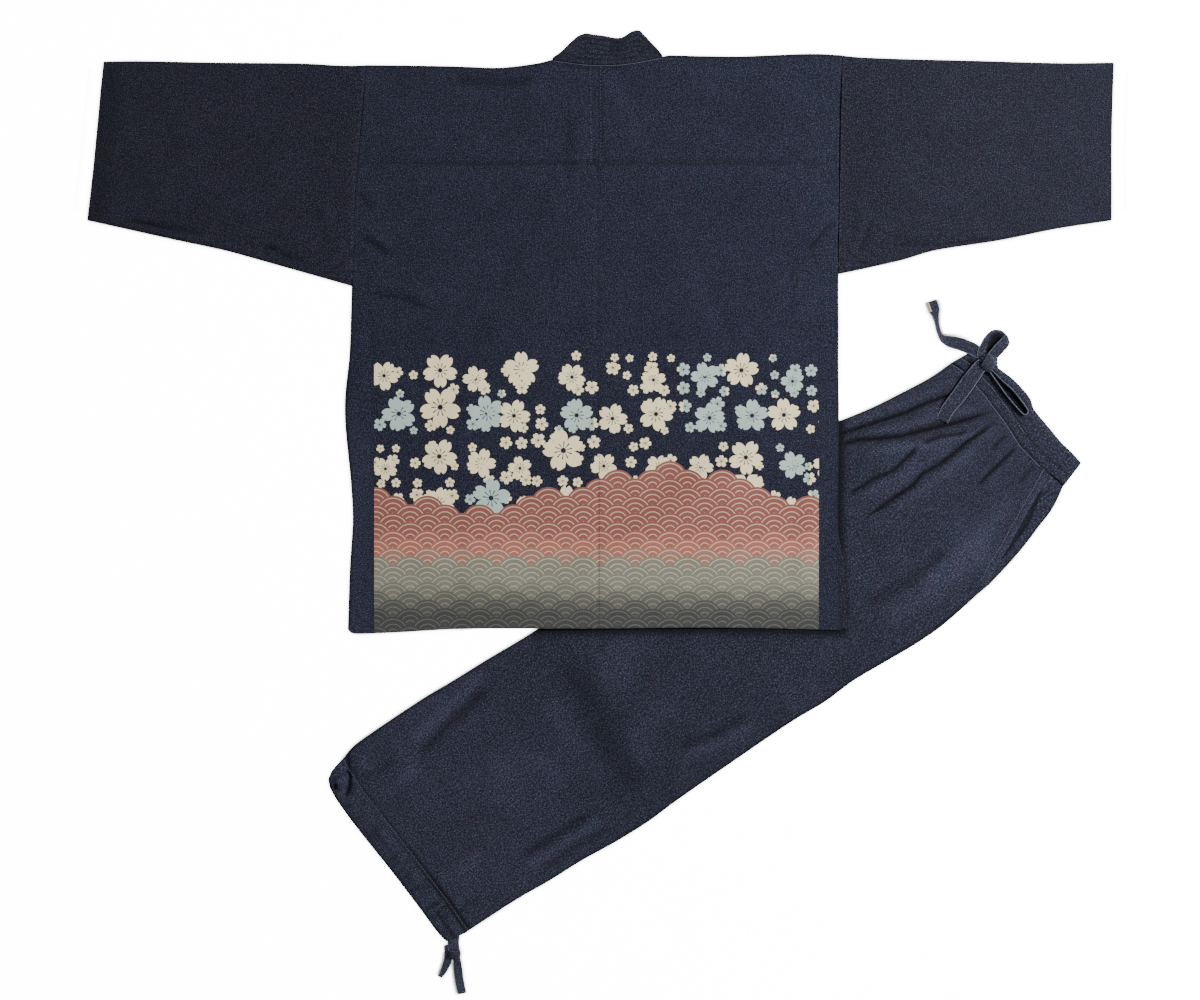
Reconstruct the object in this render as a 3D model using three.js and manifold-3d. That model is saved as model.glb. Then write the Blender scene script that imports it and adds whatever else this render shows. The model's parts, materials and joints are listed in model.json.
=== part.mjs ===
// Samue: a wrap jacket laid face down, its back up, over trousers folded in half lengthwise.
// Millimetres. +Z is up from the table, +Y runs towards the collar, +X towards the right sleeve as it lies.

import * as THREE from 'three';
import { mergeVertices } from 'three/addons/utils/BufferGeometryUtils.js';
import Module from 'manifold-3d';

const wasm = await Module();
wasm.setup();

// Cloth
const CLOTH = 1.2; // one layer of denim
const BAND = 1.8; // doubled cloth of the collar, ties, waistband and casing
const GAP = 0.3; // clearance between pieces that lie on or beside each other

// Lattice that every layer of the jacket is draped on
const COARSE = 60; // cell of the hidden layers
const FINE = COARSE / 2; // cell of the layers that show
const SPREAD = COARSE * Math.SQRT2; // how far a layer lifts the cloth above it past its own edge
const SLOPE = 60; // length over which the lifted cloth comes down again
const CUTTER_LOW = -5; // a pattern outline is cut through every height that cloth reaches
const CUTTER_HIGH = 60;

// Jacket
const CENTRE_BACK = -4; // x of the centre back seam
const NECK_LEFT = new THREE.Vector2(-63.2, 604);
const NECK_RIGHT = new THREE.Vector2(81.8, 607.5);
const NECK_DIP = 8.5; // how far the neck seam sags between its two ends
const COLLAR_WIDTH = 45;
const FRONT_OVERLAP = 165; // how far a front edge reaches past the middle
const COLLAR_END_Y = 60; // the front bands end at this height
const BAND_SLANT = 20; // a front band's outer edge starts this far below the neck point
const TIE_WIDTH = 18;
const BACK_PUFF = 1.3; // the back lies a little higher between its seams
const BACK_EASE = 70; // length over which it rises from them
const SLEEVE_PUFF = 1.6;
const FOLD_WALL = 2.2; // cloth left at a sleeve's fold and seam
const SLEEVE_EASE = 60; // length over which a sleeve rises from its fold and its seam
const OPEN_PAST = 12; // the hollow of a sleeve runs this far past its cuff and armhole, so both are open

// Trousers, in their own plane: s runs from the waist to the hem, t from the centre front to the side
const TROUSERS_X = 560.6;
const TROUSERS_Y = 141;
const TROUSERS_TURN = -144.46; // degrees
const PLATE = 1.5; // a hidden layer at the folded edge
const PLATES = 3;
const PLATE_INSETS = [1.5, 0.4, 2.2]; // how far each hidden layer's edge stands back, from the lowest up
const CORE_INSET = 8; // the hidden layers part from each other this far in
const LEG_UNDERSIDE = PLATES * (PLATE + GAP);
const LEG_PUFF = 1.5; // rise of the upper leg away from its edges
const LEG_EASE = 45; // length over which it rises from them
const LEG_LIMIT = 2; // highest rise under the jacket
const TROUSERS_TOP = LEG_UNDERSIDE + CLOTH + LEG_LIMIT;
const S_CELL = 58; // lattice cell of the upper leg, long along the leg and narrow across it
const T_CELL = 20;
const CLEAR_OF_JACKET = 2 * S_CELL; // beyond this distance from the jacket its folds may rise higher
const CLEAR_SLOPE = 0.2;
const POCKET_STEP = 0.35; // the cloth behind the pocket mouth lies this much lower
const GATHERS = 13; // soft gathers across the elastic waist
const GATHER_HEIGHT = 0.8;
const GATHERED_WIDTH = 212; // of the waist as it lies
const GATHER_STEPS = 4; // lattice cells across one gather
const WAIST_CELL = 24;
const RIBBON = 1.6; // thickness of the drawstring and hem tie
const KNOT_SIDES = 12;
const KNOT_RINGS = 8;

const finish = {
  denim: { color: 0x2b2e3b, roughness: 0.92, metalness: 0 },
  denimBack: { color: 0x2f323f, roughness: 0.92, metalness: 0 },
  collar: { color: 0x292c39, roughness: 0.92, metalness: 0 },
  trousers: { color: 0x353849, roughness: 0.92, metalness: 0 },
  ribbon: { color: 0x343747, roughness: 0.92, metalness: 0 },
};

// Body edges from the hem to the shoulder; below y 303 they are the side seams, above it the armholes
const SIDE_LINES = [
  { y: -154, left: -335.8, right: 318.5, rightFront: 327.8 },
  { y: -74, left: -333.2, right: 316.5, rightFront: 324 },
  { y: -8, left: -329.2, right: 314.6, rightFront: 314.6 },
  { y: 138, left: -339.8, right: 315.8, rightFront: 315.8 },
  { y: 218, left: -333.2, right: 315.9, rightFront: 315.9 },
  { y: 303.2, left: -330.5, right: 316, rightFront: 316 },
  { y: 319.2, left: -329.8, right: 316.1, rightFront: 316.1 },
  { y: 428, left: -326.5, right: 318, rightFront: 318 },
  { y: 520, left: -318.5, right: 319.5, rightFront: 319.5 },
];
const SHOULDER_LEFT = [
  { x: -312, y: 595.8 },
  { x: -160, y: 592 },
  { x: -134, y: 592 },
  { x: -87, y: 598.5 },
];
const SHOULDER_RIGHT = [
  { x: 132.3, y: 607.8 },
  { x: 265, y: 610.4 },
  { x: 322, y: 609 },
];
const HEM_LINE = [
  { x: -266.7, y: -156.9 },
  { x: -200.2, y: -153 },
  { x: -133.7, y: -151.6 },
  { x: 132.3, y: -150.3 },
  { x: 238.7, y: -151.6 },
];

// Sleeves: the fold on top, the cuff and the seam below, each from the armhole outwards
const SLEEVES = {
  left: {
    fold: [{ x: -326.5, y: 595.8 }, { x: -660.3, y: 601.2 }],
    cuff: [{ x: -668.3, y: 510.7 }, { x: -681.6, y: 391 }],
    seam: [{ x: -564.6, y: 364.4 }, { x: -502.1, y: 351.1 }, { x: -406.3, y: 324.5 }],
    outwards: -1,
  },
  right: {
    fold: [{ x: 438.2, y: 603.8 }, { x: 597.8, y: 599.8 }, { x: 681.6, y: 599.8 }],
    cuff: [{ x: 677.6, y: 510.7 }, { x: 677.6, y: 391 }],
    seam: [{ x: 532.7, y: 364.4 }, { x: 447.5, y: 351.1 }, { x: 342.5, y: 324.5 }],
    outwards: 1,
  },
};

// Upper edge of the collar, from its left fold to its right one
const COLLAR_TOP = [
  { x: -44.6, y: 625.1 },
  { x: -29.9, y: 637.1 },
  { x: -14, y: 635.7 },
  { x: 15.3, y: 630.4 },
  { x: 36.6, y: 639.7 },
  { x: 52.5, y: 640.4 },
];

// Creases of the jacket's upper layer: a row for each, with its two ends, its width and its height
const JACKET_CREASES = [
  { x1: -320, y1: 380, x2: -283, y2: 352, wide: 16, high: 2 },
  { x1: -325, y1: 362, x2: -306, y2: 338, wide: 13, high: 1.6 },
  { x1: -310, y1: 306, x2: -224, y2: 284, wide: 18, high: 1.8 },
  { x1: -314, y1: 434, x2: -290, y2: 410, wide: 14, high: 1.4 },
  { x1: -322, y1: 285, x2: -326, y2: 150, wide: 18, high: 1.5 },
  { x1: 306, y1: 400, x2: 270, y2: 362, wide: 16, high: 1.7 },
  { x1: 308, y1: 300, x2: 250, y2: 262, wide: 18, high: 1.4 },
  { x1: 296, y1: 110, x2: 262, y2: -120, wide: 26, high: 2.2 },
  { x1: -250, y1: -60, x2: -90, y2: -95, wide: 30, high: 1.6 },
  { x1: -43, y1: 540, x2: -43, y2: 440, wide: 14, high: -1.2 },
];
const SLEEVE_CREASES = [
  { x1: -664, y1: 412, x2: -526, y2: 372, wide: 18, high: 1.4 },
  { x1: -452, y1: 372, x2: -404, y2: 344, wide: 16, high: 1.5 },
  { x1: -340, y1: 330, x2: -372, y2: 420, wide: 20, high: 1.3 },
  { x1: 383, y1: 372, x2: 527, y2: 382, wide: 18, high: 1.5 },
  { x1: 527, y1: 382, x2: 654, y2: 438, wide: 18, high: 1.4 },
  { x1: 372, y1: 432, x2: 468, y2: 460, wide: 22, high: 1.1 },
  { x1: 340, y1: 360, x2: 352, y2: 396, wide: 14, high: 1.5 },
];

// Trouser outline: the front edge and the side edge at each s; the front edge swells at the crotch
const LEG_EDGES = [
  { s: 75, front: -103.4, side: 139 },
  { s: 118, front: -109, side: 151 },
  { s: 174, front: -118.5, side: 163 },
  { s: 249, front: -138, side: 168 },
  { s: 294, front: -152, side: 169 },
  { s: 346, front: -150, side: 164.5 },
  { s: 440, front: -138, side: 163 },
  { s: 586, front: -134, side: 157 },
  { s: 695, front: -135, side: 156.5 },
  { s: 774, front: -141, side: 154 },
  { s: 827, front: -144.5, side: 148 },
  { s: 877, front: -148.6, side: 145 },
  { s: 979, front: -151, side: 137 },
];
const WAIST_EDGE = [
  { s: 19.6, t: -100.7 },
  { s: 0, t: -50.6 },
  { s: -12.5, t: 1 },
  { s: -12, t: 66 },
  { s: -18.9, t: 101.7 },
];
const WAIST_SEAM = [
  { s: 41, t: -103 },
  { s: 35, t: -86 },
  { s: 30, t: -43 },
  { s: 31, t: 38.5 },
  { s: 25, t: 77 },
  { s: 15.5, t: 113 },
];
const POCKET_MOUTH = [
  { s: 22, t: 91 },
  { s: 53.6, t: 107 },
  { s: 82.7, t: 127 },
  { s: 126.5, t: 145 },
  { s: 176, t: 161.5 },
];
const CASING_SEAM = [
  { s: 1008, t: -144.7 },
  { s: 1010, t: -60 },
  { s: 1005, t: 60 },
  { s: 1005, t: 137 },
];
const HEM_EDGE = [
  { s: 1025.5, t: -140.8 },
  { s: 1037, t: -134 },
  { s: 1042, t: -120 },
  { s: 1043.5, t: -88 },
  { s: 1041, t: -21 },
  { s: 1037, t: 79.5 },
  { s: 1034.6, t: 130.5 },
  { s: 1019, t: 134 },
];

// Folds of the upper leg: the line of each, its width and its height, below zero for a trough
const LEG_FOLDS = [
  { s: [226, 157, 109, 53, 14], t: [-95, -60, -35, -10, 4], wide: 10, high: -1.6 },
  { s: [200, 140, 90, 50], t: [-80, -47, -22, 4], wide: 12, high: 2.6 },
  { s: [216, 166, 109, 71], t: [-109, -92, -81, -70], wide: 9, high: -1.2 },
  { s: [259, 212, 161, 101, 55], t: [-31, -29, -30, -23, -8], wide: 10, high: -1.3 },
  { s: [230, 160, 100, 58], t: [-14, -15, -12, -3], wide: 11, high: 2.2 },
  { s: [214, 166, 109, 55], t: [-2.5, -1, -1, 3], wide: 9, high: -1.2 },
  { s: [38, 104], t: [42, 50], wide: 8, high: -1 },
  { s: [120, 210, 330], t: [112, 128, 122], wide: 18, high: 1.8 },
  { s: [80, 190], t: [92, 108], wide: 16, high: 1.5 },
  { s: [689, 697, 710, 716], t: [-81, -12, 52, 129], wide: 22, high: -0.9 },
  { s: [932, 867, 784], t: [-107, -118, -132], wide: 12, high: 1.6 },
  { s: [900, 838, 775], t: [112, 116, 120], wide: 12, high: 1.6 },
  { s: [655, 593, 525], t: [111, 127, 135], wide: 12, high: 1.5 },
];

// Drawstring and hem tie: centre line, height of the middle above the surface, width and lean of each row
const LOOP_ROUND = [
  { s: 5, t: -82, z: 9.4, wide: 9, lean: 72 },
  { s: -8, t: -86, z: 9, wide: 13, lean: 70 },
  { s: -20, t: -92, z: 9, wide: 16, lean: 68 },
  { s: -31, t: -96, z: 9, wide: 16, lean: 68 },
  { s: -39.5, t: -92.5, z: 9, wide: 16, lean: 68 },
  { s: -42, t: -83, z: 9, wide: 16, lean: 68 },
  { s: -35, t: -74, z: 9, wide: 16, lean: 68 },
  { s: -21, t: -70.5, z: 9, wide: 15, lean: 68 },
  { s: -9, t: -73.5, z: 9, wide: 12, lean: 70 },
  { s: 4, t: -77, z: 9.4, wide: 9, lean: 74 },
];
const LOOP_LONG = [
  { s: 7, t: -74, z: 13.7, wide: 7, lean: -42 },
  { s: 0.5, t: -58, z: 14.3, wide: 10, lean: -42 },
  { s: -3.5, t: -42, z: 14.9, wide: 16, lean: -42 },
  { s: -7, t: -18, z: 14.9, wide: 17, lean: -42 },
  { s: -9, t: -2, z: 14.9, wide: 16, lean: -42 },
  { s: -6, t: 8, z: 14.7, wide: 14, lean: -46 },
  { s: 1.5, t: 10, z: 14.7, wide: 13, lean: -50 },
  { s: 6.5, t: 3, z: 14.7, wide: 14, lean: -46 },
  { s: 8, t: -10, z: 14.9, wide: 16, lean: -42 },
  { s: 10, t: -30, z: 14.9, wide: 16, lean: -42 },
  { s: 13.5, t: -52, z: 14.7, wide: 11, lean: -42 },
  { s: 12, t: -74, z: 14.1, wide: 7, lean: -42 },
];
const TAIL_LOWER = [
  { s: 8, t: -78, z: 2.6, wide: 9 },
  { s: 20, t: -75, z: 1.3, wide: 14 },
  { s: 38, t: -70, z: 1.2, wide: 18 },
  { s: 56, t: -63.3, z: 1.2, wide: 17 },
  { s: 75, t: -56.4, z: 1.2, wide: 16 },
  { s: 95, t: -47.4, z: 1.2, wide: 15 },
];
const TAIL_UPPER = [
  { s: 3, t: -80, z: 8.4, wide: 10, lean: 0 },
  { s: 5.5, t: -93, z: 8.6, wide: 13, lean: 8 },
  { s: 12, t: -107, z: 6.2, wide: 16, lean: 14 },
  { s: 22, t: -120, z: 3.6, wide: 15, lean: 10 },
  { s: 30, t: -131, z: 4, wide: 13, lean: 30 },
  { s: 34, t: -142, z: 5, wide: 11, lean: 52 },
  { s: 30, t: -155, z: 4.6, wide: 10, lean: 46 },
  { s: 24, t: -167, z: 3, wide: 11, lean: 18 },
  { s: 16.5, t: -183, z: 1.1, wide: 12, lean: 0 },
];
const HEM_TIE_LONG = [
  { s: 1023, t: 133, z: 4.4, wide: 11, lean: 0 },
  { s: 1028, t: 143, z: 4.6, wide: 11, lean: 0 },
  { s: 1035, t: 154, z: 4.4, wide: 10, lean: 0 },
];
const HEM_TAIL_LONG = [
  { s: 1033.5, t: 155, z: 4, wide: 6, lean: 0 },
  { s: 1039.5, t: 167, z: 2.1, wide: 9, lean: 12 },
  { s: 1049, t: 178, z: 1.4, wide: 10, lean: 4 },
  { s: 1060, t: 199, z: 1, wide: 9.5, lean: 0 },
];
const HEM_TAIL_SHORT = [
  { s: 1038, t: 152.5, z: 4.4, wide: 5, lean: 0 },
  { s: 1048, t: 155.5, z: 3.2, wide: 8, lean: 20 },
  { s: 1060, t: 161, z: 1.8, wide: 9, lean: 10 },
  { s: 1071, t: 165, z: 1.1, wide: 8, lean: 0 },
];
const KNOT = { s: 4.5, t: -78.4, z: 10.4, length: 24, width: 19, height: 13, turn: 30 };
const HEM_KNOT = { s: 1035.4, t: 154.5, z: 4.2, length: 15, width: 12, height: 8, turn: -35 };

const radians = THREE.MathUtils.degToRad;
const point = (row) => new THREE.Vector2(row.x, row.y);
const onLeg = (row) => new THREE.Vector2(row.s, row.t);
const reversed = (list) => [...list].reverse();

// Solids and cuts
function toSolid(geometry) {
  const bare = geometry.clone();
  for (const name of Object.keys(bare.attributes)) {
    if (name !== 'position') {
      bare.deleteAttribute(name);
    }
  }
  const merged = mergeVertices(bare, 1e-4);
  return new wasm.Manifold(new wasm.Mesh({
    numProp: 3,
    vertProperties: new Float32Array(merged.attributes.position.array),
    triVerts: new Uint32Array(merged.index.array),
  }));
}

function toGeometry(solid) {
  const mesh = solid.getMesh();
  const geometry = new THREE.BufferGeometry();
  geometry.setAttribute('position', new THREE.BufferAttribute(new Float32Array(mesh.vertProperties), 3));
  geometry.setIndex(new THREE.BufferAttribute(new Uint32Array(mesh.triVerts), 1));
  geometry.computeVertexNormals();
  return geometry;
}

function prism(outline, low, high) {
  const geometry = new THREE.ExtrudeGeometry(new THREE.Shape(outline), {
    depth: high - low,
    bevelEnabled: false,
  });
  geometry.translate(0, 0, low);
  return toSolid(geometry);
}

// A sheet over whole lattice cells that cover the outline, its two faces at the heights given
function sheet(outline, cell, under, over) {
  const box = new THREE.Box2().setFromPoints(outline);
  const firstX = Math.floor(box.min.x / cell.x) - 1;
  const firstY = Math.floor(box.min.y / cell.y) - 1;
  const columns = Math.ceil(box.max.x / cell.x) + 1 - firstX;
  const rows = Math.ceil(box.max.y / cell.y) + 1 - firstY;
  const positions = [];
  for (const height of [under, over]) {
    for (let j = 0; j <= rows; j += 1) {
      for (let i = 0; i <= columns; i += 1) {
        const x = (firstX + i) * cell.x;
        const y = (firstY + j) * cell.y;
        positions.push(x, y, height(x, y));
      }
    }
  }
  const layer = (columns + 1) * (rows + 1);
  const at = (i, j, side) => side * layer + j * (columns + 1) + i;
  const triangles = [];
  for (let j = 0; j < rows; j += 1) {
    for (let i = 0; i < columns; i += 1) {
      triangles.push(at(i, j, 1), at(i + 1, j, 1), at(i + 1, j + 1, 1));
      triangles.push(at(i, j, 1), at(i + 1, j + 1, 1), at(i, j + 1, 1));
      triangles.push(at(i, j, 0), at(i + 1, j + 1, 0), at(i + 1, j, 0));
      triangles.push(at(i, j, 0), at(i, j + 1, 0), at(i + 1, j + 1, 0));
    }
  }
  const wall = (i1, j1, i2, j2) => {
    triangles.push(at(i1, j1, 0), at(i2, j2, 0), at(i2, j2, 1));
    triangles.push(at(i1, j1, 0), at(i2, j2, 1), at(i1, j1, 1));
  };
  for (let i = 0; i < columns; i += 1) {
    wall(i, 0, i + 1, 0);
    wall(i + 1, rows, i, rows);
  }
  for (let j = 0; j < rows; j += 1) {
    wall(columns, j, columns, j + 1);
    wall(0, j + 1, 0, j);
  }
  const geometry = new THREE.BufferGeometry();
  geometry.setAttribute('position', new THREE.Float32BufferAttribute(positions, 3));
  geometry.setIndex(triangles);
  return toSolid(geometry);
}

// A piece of cloth: the lattice sheet cut along the piece's pattern outline
function cutCloth(outline, cell, under, over) {
  return sheet(outline, cell, under, over).intersect(prism(outline, CUTTER_LOW, CUTTER_HIGH));
}

// Distances and soft steps
function smooth(value) {
  const v = THREE.MathUtils.clamp(value, 0, 1);
  return v * v * (3 - 2 * v);
}

function toSegment(p, a, b) {
  const along = b.clone().sub(a);
  const share = THREE.MathUtils.clamp(p.clone().sub(a).dot(along) / along.lengthSq(), 0, 1);
  return { away: p.distanceTo(a.clone().addScaledVector(along, share)), share };
}

function inside(outline, p) {
  let within = false;
  outline.forEach((a, i) => {
    const b = outline[(i + 1) % outline.length];
    if ((a.y > p.y) !== (b.y > p.y) && p.x < ((b.x - a.x) * (p.y - a.y)) / (b.y - a.y) + a.x) {
      within = !within;
    }
  });
  return within;
}

function toEdge(outline, p) {
  const aways = outline.map((a, i) => toSegment(p, a, outline[(i + 1) % outline.length]).away);
  return Math.min(...aways);
}

function outsideBy(outline, p) {
  return inside(outline, p) ? 0 : toEdge(outline, p);
}

// Height of a crease: a soft ridge across its line that fades at both ends
function ridge(line, wide, high, p) {
  let best = { away: Infinity, share: 0 };
  for (let i = 0; i + 1 < line.length; i += 1) {
    const hit = toSegment(p, line[i], line[i + 1]);
    if (hit.away < best.away) {
      best = { away: hit.away, share: (i + hit.share) / (line.length - 1) };
    }
  }
  const fade = smooth(Math.min(best.share, 1 - best.share) * 4 + 0.25);
  return high * fade * Math.exp(-((best.away / wide) ** 2));
}

// Outlines of the jacket
const sideLine = (side, from, to) => SIDE_LINES
  .filter((row) => row.y >= from && row.y <= to)
  .map((row) => new THREE.Vector2(row[side], row.y));
const ARMHOLE_Y = { left: 303.2, right: 319.2 };
const hemBetween = (from, to) => HEM_LINE.filter((row) => row.x > from && row.x < to).map(point);

function neckY(x) {
  const share = (x - NECK_LEFT.x) / (NECK_RIGHT.x - NECK_LEFT.x);
  const chord = THREE.MathUtils.lerp(NECK_LEFT.y, NECK_RIGHT.y, share);
  return chord - NECK_DIP * Math.sin(Math.PI * THREE.MathUtils.clamp(share, 0, 1));
}

function neckLine(from, to, steps) {
  return Array.from({ length: steps + 1 }, (_, i) => {
    const x = THREE.MathUtils.lerp(from, to, i / steps);
    return new THREE.Vector2(x, neckY(x));
  });
}

const hemLevel = SIDE_LINES[0].y;
const backLeft = [
  new THREE.Vector2(CENTRE_BACK - GAP / 2, HEM_LINE[2].y),
  ...neckLine(CENTRE_BACK - GAP / 2, NECK_LEFT.x, 5),
  ...reversed(SHOULDER_LEFT).map(point),
  ...reversed(sideLine('left', hemLevel, 600)),
  ...hemBetween(-300, CENTRE_BACK),
];
const backRight = [
  new THREE.Vector2(CENTRE_BACK + GAP / 2, HEM_LINE[2].y),
  ...hemBetween(CENTRE_BACK, 300),
  ...sideLine('right', hemLevel, 600),
  ...reversed(SHOULDER_RIGHT).map(point),
  ...neckLine(NECK_RIGHT.x, CENTRE_BACK + GAP / 2, 6),
];

// Each front wraps past the middle; its band follows the slanted neck edge
const outerEnd = new THREE.Vector2(FRONT_OVERLAP, COLLAR_END_Y);
const innerEnd = new THREE.Vector2(-FRONT_OVERLAP, COLLAR_END_Y);
const frontOuter = [
  NECK_LEFT,
  ...reversed(SHOULDER_LEFT).map(point),
  ...reversed(sideLine('left', hemLevel, 600)),
  ...hemBetween(-300, FRONT_OVERLAP),
  new THREE.Vector2(FRONT_OVERLAP, HEM_LINE[3].y),
  outerEnd,
];
const frontInner = [
  NECK_RIGHT,
  innerEnd,
  new THREE.Vector2(-FRONT_OVERLAP, HEM_LINE[2].y),
  ...hemBetween(-FRONT_OVERLAP, 300),
  ...sideLine('rightFront', hemLevel, 600),
  ...reversed(SHOULDER_RIGHT).map(point),
];

// A band beside a front's neck edge, from under the collar down to its end
function frontBand(neck, end, top) {
  const along = end.clone().sub(neck).normalize();
  const across = new THREE.Vector2(-along.y, along.x).multiplyScalar(Math.sign(end.x - neck.x));
  const seam = (p) => p.clone().addScaledVector(across, GAP);
  const edge = (p) => p.clone().addScaledVector(across, COLLAR_WIDTH);
  return [seam(neck), seam(end), edge(end), edge(neck.clone().addScaledVector(along, BAND_SLANT)), top];
}
const collarOuter = frontBand(NECK_LEFT, outerEnd, new THREE.Vector2(-30, 634));
const collarInner = frontBand(NECK_RIGHT, innerEnd, new THREE.Vector2(52, 637));

const collarBack = [
  ...neckLine(NECK_LEFT.x, NECK_RIGHT.x, 11).map((p) => new THREE.Vector2(p.x, p.y + GAP)),
  ...reversed(COLLAR_TOP).map(point),
];

// The outer ties: one from the band of the outer front, one from the right side seam
const TIE_FRONT_Y = 214;
const TIE_FRONT_TIP = { x: 304, low: 199, high: 217 };
const TIE_SIDE_Y = 240;
const TIE_SIDE_ROOT_X = 314;
const TIE_SIDE_TIP = { x: 190, low: 242, high: 260 };
const bandEdgeX = (y) => {
  const [, , low, high] = collarOuter;
  return THREE.MathUtils.mapLinear(y, low.y, high.y, low.x, high.x) + GAP;
};
const tieFront = [
  new THREE.Vector2(bandEdgeX(TIE_FRONT_Y - TIE_WIDTH / 2), TIE_FRONT_Y - TIE_WIDTH / 2),
  new THREE.Vector2(TIE_FRONT_TIP.x, TIE_FRONT_TIP.low),
  new THREE.Vector2(TIE_FRONT_TIP.x + 1, TIE_FRONT_TIP.high),
  new THREE.Vector2(bandEdgeX(TIE_FRONT_Y + TIE_WIDTH / 2), TIE_FRONT_Y + TIE_WIDTH / 2),
];
const tieSide = [
  new THREE.Vector2(TIE_SIDE_TIP.x, TIE_SIDE_TIP.low),
  new THREE.Vector2(TIE_SIDE_ROOT_X, TIE_SIDE_Y - TIE_WIDTH / 2),
  new THREE.Vector2(TIE_SIDE_ROOT_X, TIE_SIDE_Y + TIE_WIDTH / 2),
  new THREE.Vector2(TIE_SIDE_TIP.x + 1, TIE_SIDE_TIP.high),
];

function sleeveOutline(name, inset, overrun) {
  const sleeve = SLEEVES[name];
  const out = sleeve.outwards;
  const last = sleeve.fold.length - 1;
  const armhole = sideLine(name, ARMHOLE_Y[name], 600);
  armhole.push(point(name === 'left' ? SHOULDER_LEFT[0] : SHOULDER_RIGHT[2]));
  const beside = armhole.map((p) => new THREE.Vector2(p.x + out * (GAP - overrun), p.y));
  beside[0].y += inset;
  beside[beside.length - 1].y -= inset;
  const fold = sleeve.fold.map((row, i) => (
    new THREE.Vector2(row.x + (i === last ? out * overrun : 0), row.y - inset)));
  const cuff = sleeve.cuff.map((row, i) => (
    new THREE.Vector2(row.x + out * overrun, row.y + (i === 1 ? inset : 0))));
  const seam = sleeve.seam.map((row) => new THREE.Vector2(row.x, row.y + inset));
  const outline = [...beside, ...fold, ...cuff, ...seam];
  return out > 0 ? reversed(outline) : outline;
}

// Outlines of the trousers
const frontEdge = LEG_EDGES.map((row) => new THREE.Vector2(row.s, row.front));
const sideEdge = LEG_EDGES.map((row) => new THREE.Vector2(row.s, row.side));
const trouserOutline = [
  ...WAIST_EDGE.map(onLeg),
  ...sideEdge.filter((p) => p.x > 60),
  ...reversed(HEM_EDGE).map(onLeg),
  ...reversed(frontEdge),
];
const belowWaistband = [...WAIST_SEAM.map(onLeg), ...trouserOutline.slice(WAIST_EDGE.length)];
const beforeCasing = CASING_SEAM.map((row) => new THREE.Vector2(row.s - GAP, row.t));
const legFront = [
  ...WAIST_SEAM.slice(0, -1).map((row) => new THREE.Vector2(row.s + GAP, row.t)),
  ...POCKET_MOUTH.map((row) => new THREE.Vector2(row.s + GAP, row.t - GAP)),
  ...sideEdge.filter((p) => p.x > 200),
  ...reversed(beforeCasing),
  ...reversed(frontEdge),
];
const sidePanel = [
  ...POCKET_MOUTH.map(onLeg),
  ...reversed(sideEdge.filter((p) => p.x < 176)),
  new THREE.Vector2(WAIST_SEAM[5].s + GAP, WAIST_SEAM[5].t),
];
const waistband = [
  ...WAIST_EDGE.map(onLeg),
  ...reversed(WAIST_SEAM).map(onLeg),
];
const hemCasing = [
  ...CASING_SEAM.map(onLeg),
  ...reversed(HEM_EDGE).map(onLeg),
];

// Moves an outline in by the same distance all round, so far as its corners allow
function shrink(outline, by) {
  const area = THREE.ShapeUtils.area(outline);
  return outline.map((p, i) => {
    const before = outline[(i + outline.length - 1) % outline.length];
    const after = outline[(i + 1) % outline.length];
    const a = p.clone().sub(before).normalize();
    const b = after.clone().sub(p).normalize();
    const middle = a.add(b).normalize();
    const inwards = new THREE.Vector2(-middle.y, middle.x).multiplyScalar(Math.sign(area) * by);
    return p.clone().add(inwards);
  });
}

// Heights of the jacket's layers at the lattice corners, straight between them
const trouserTurn = radians(TROUSERS_TURN);
const trousersAt = new THREE.Vector2(TROUSERS_X, TROUSERS_Y);
const trousersOnTable = trouserOutline.map((p) => (
  p.clone().rotateAround(new THREE.Vector2(), trouserTurn).add(trousersAt)));

function lift(outline, amount, p) {
  return amount * smooth(1 - (outsideBy(outline, p) - SPREAD) / SLOPE);
}

function onLattice(height) {
  const known = new Map();
  const corner = (i, j) => {
    const key = `${i} ${j}`;
    if (!known.has(key)) {
      known.set(key, height(new THREE.Vector2(i * COARSE, j * COARSE)));
    }
    return known.get(key);
  };
  return (x, y) => {
    const i = Math.floor(x / COARSE);
    const j = Math.floor(y / COARSE);
    const u = x / COARSE - i;
    const v = y / COARSE - j;
    const start = corner(i, j);
    const far = corner(i + 1, j + 1);
    if (u >= v) {
      const beside = corner(i + 1, j);
      return start + u * (beside - start) + v * (far - beside);
    }
    const above = corner(i, j + 1);
    return start + v * (above - start) + u * (far - above);
  };
}

function raised(pieces, p) {
  return Math.max(...pieces.map((piece) => lift(piece.outline, piece.thick + GAP, p)));
}
const lowest = [
  { outline: frontOuter, thick: CLOTH },
  { outline: collarOuter, thick: BAND },
  { outline: tieFront, thick: BAND },
  { outline: tieSide, thick: BAND },
];
const middle = [
  { outline: frontInner, thick: CLOTH },
  { outline: collarInner, thick: BAND },
];
const overTrousers = (p) => lift(trousersOnTable, TROUSERS_TOP + GAP, p);
const outerLevel = onLattice(overTrousers);
const innerLevel = onLattice((p) => overTrousers(p) + raised(lowest, p));
const backLevel = onLattice((p) => overTrousers(p) + raised(lowest, p) + raised(middle, p));

function creases(table, p) {
  return table.reduce((sum, row) => {
    const line = [new THREE.Vector2(row.x1, row.y1), new THREE.Vector2(row.x2, row.y2)];
    return sum + ridge(line, row.wide, row.high, p);
  }, 0);
}

function backPuff(outline) {
  return (x, y) => {
    const p = new THREE.Vector2(x, y);
    const within = inside(outline, p) ? toEdge(outline, p) : 0;
    return Math.max(0, BACK_PUFF * smooth(within / BACK_EASE) + creases(JACKET_CREASES, p));
  };
}

const fineCell = { x: FINE, y: FINE };
const coarseCell = { x: COARSE, y: COARSE };

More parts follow.
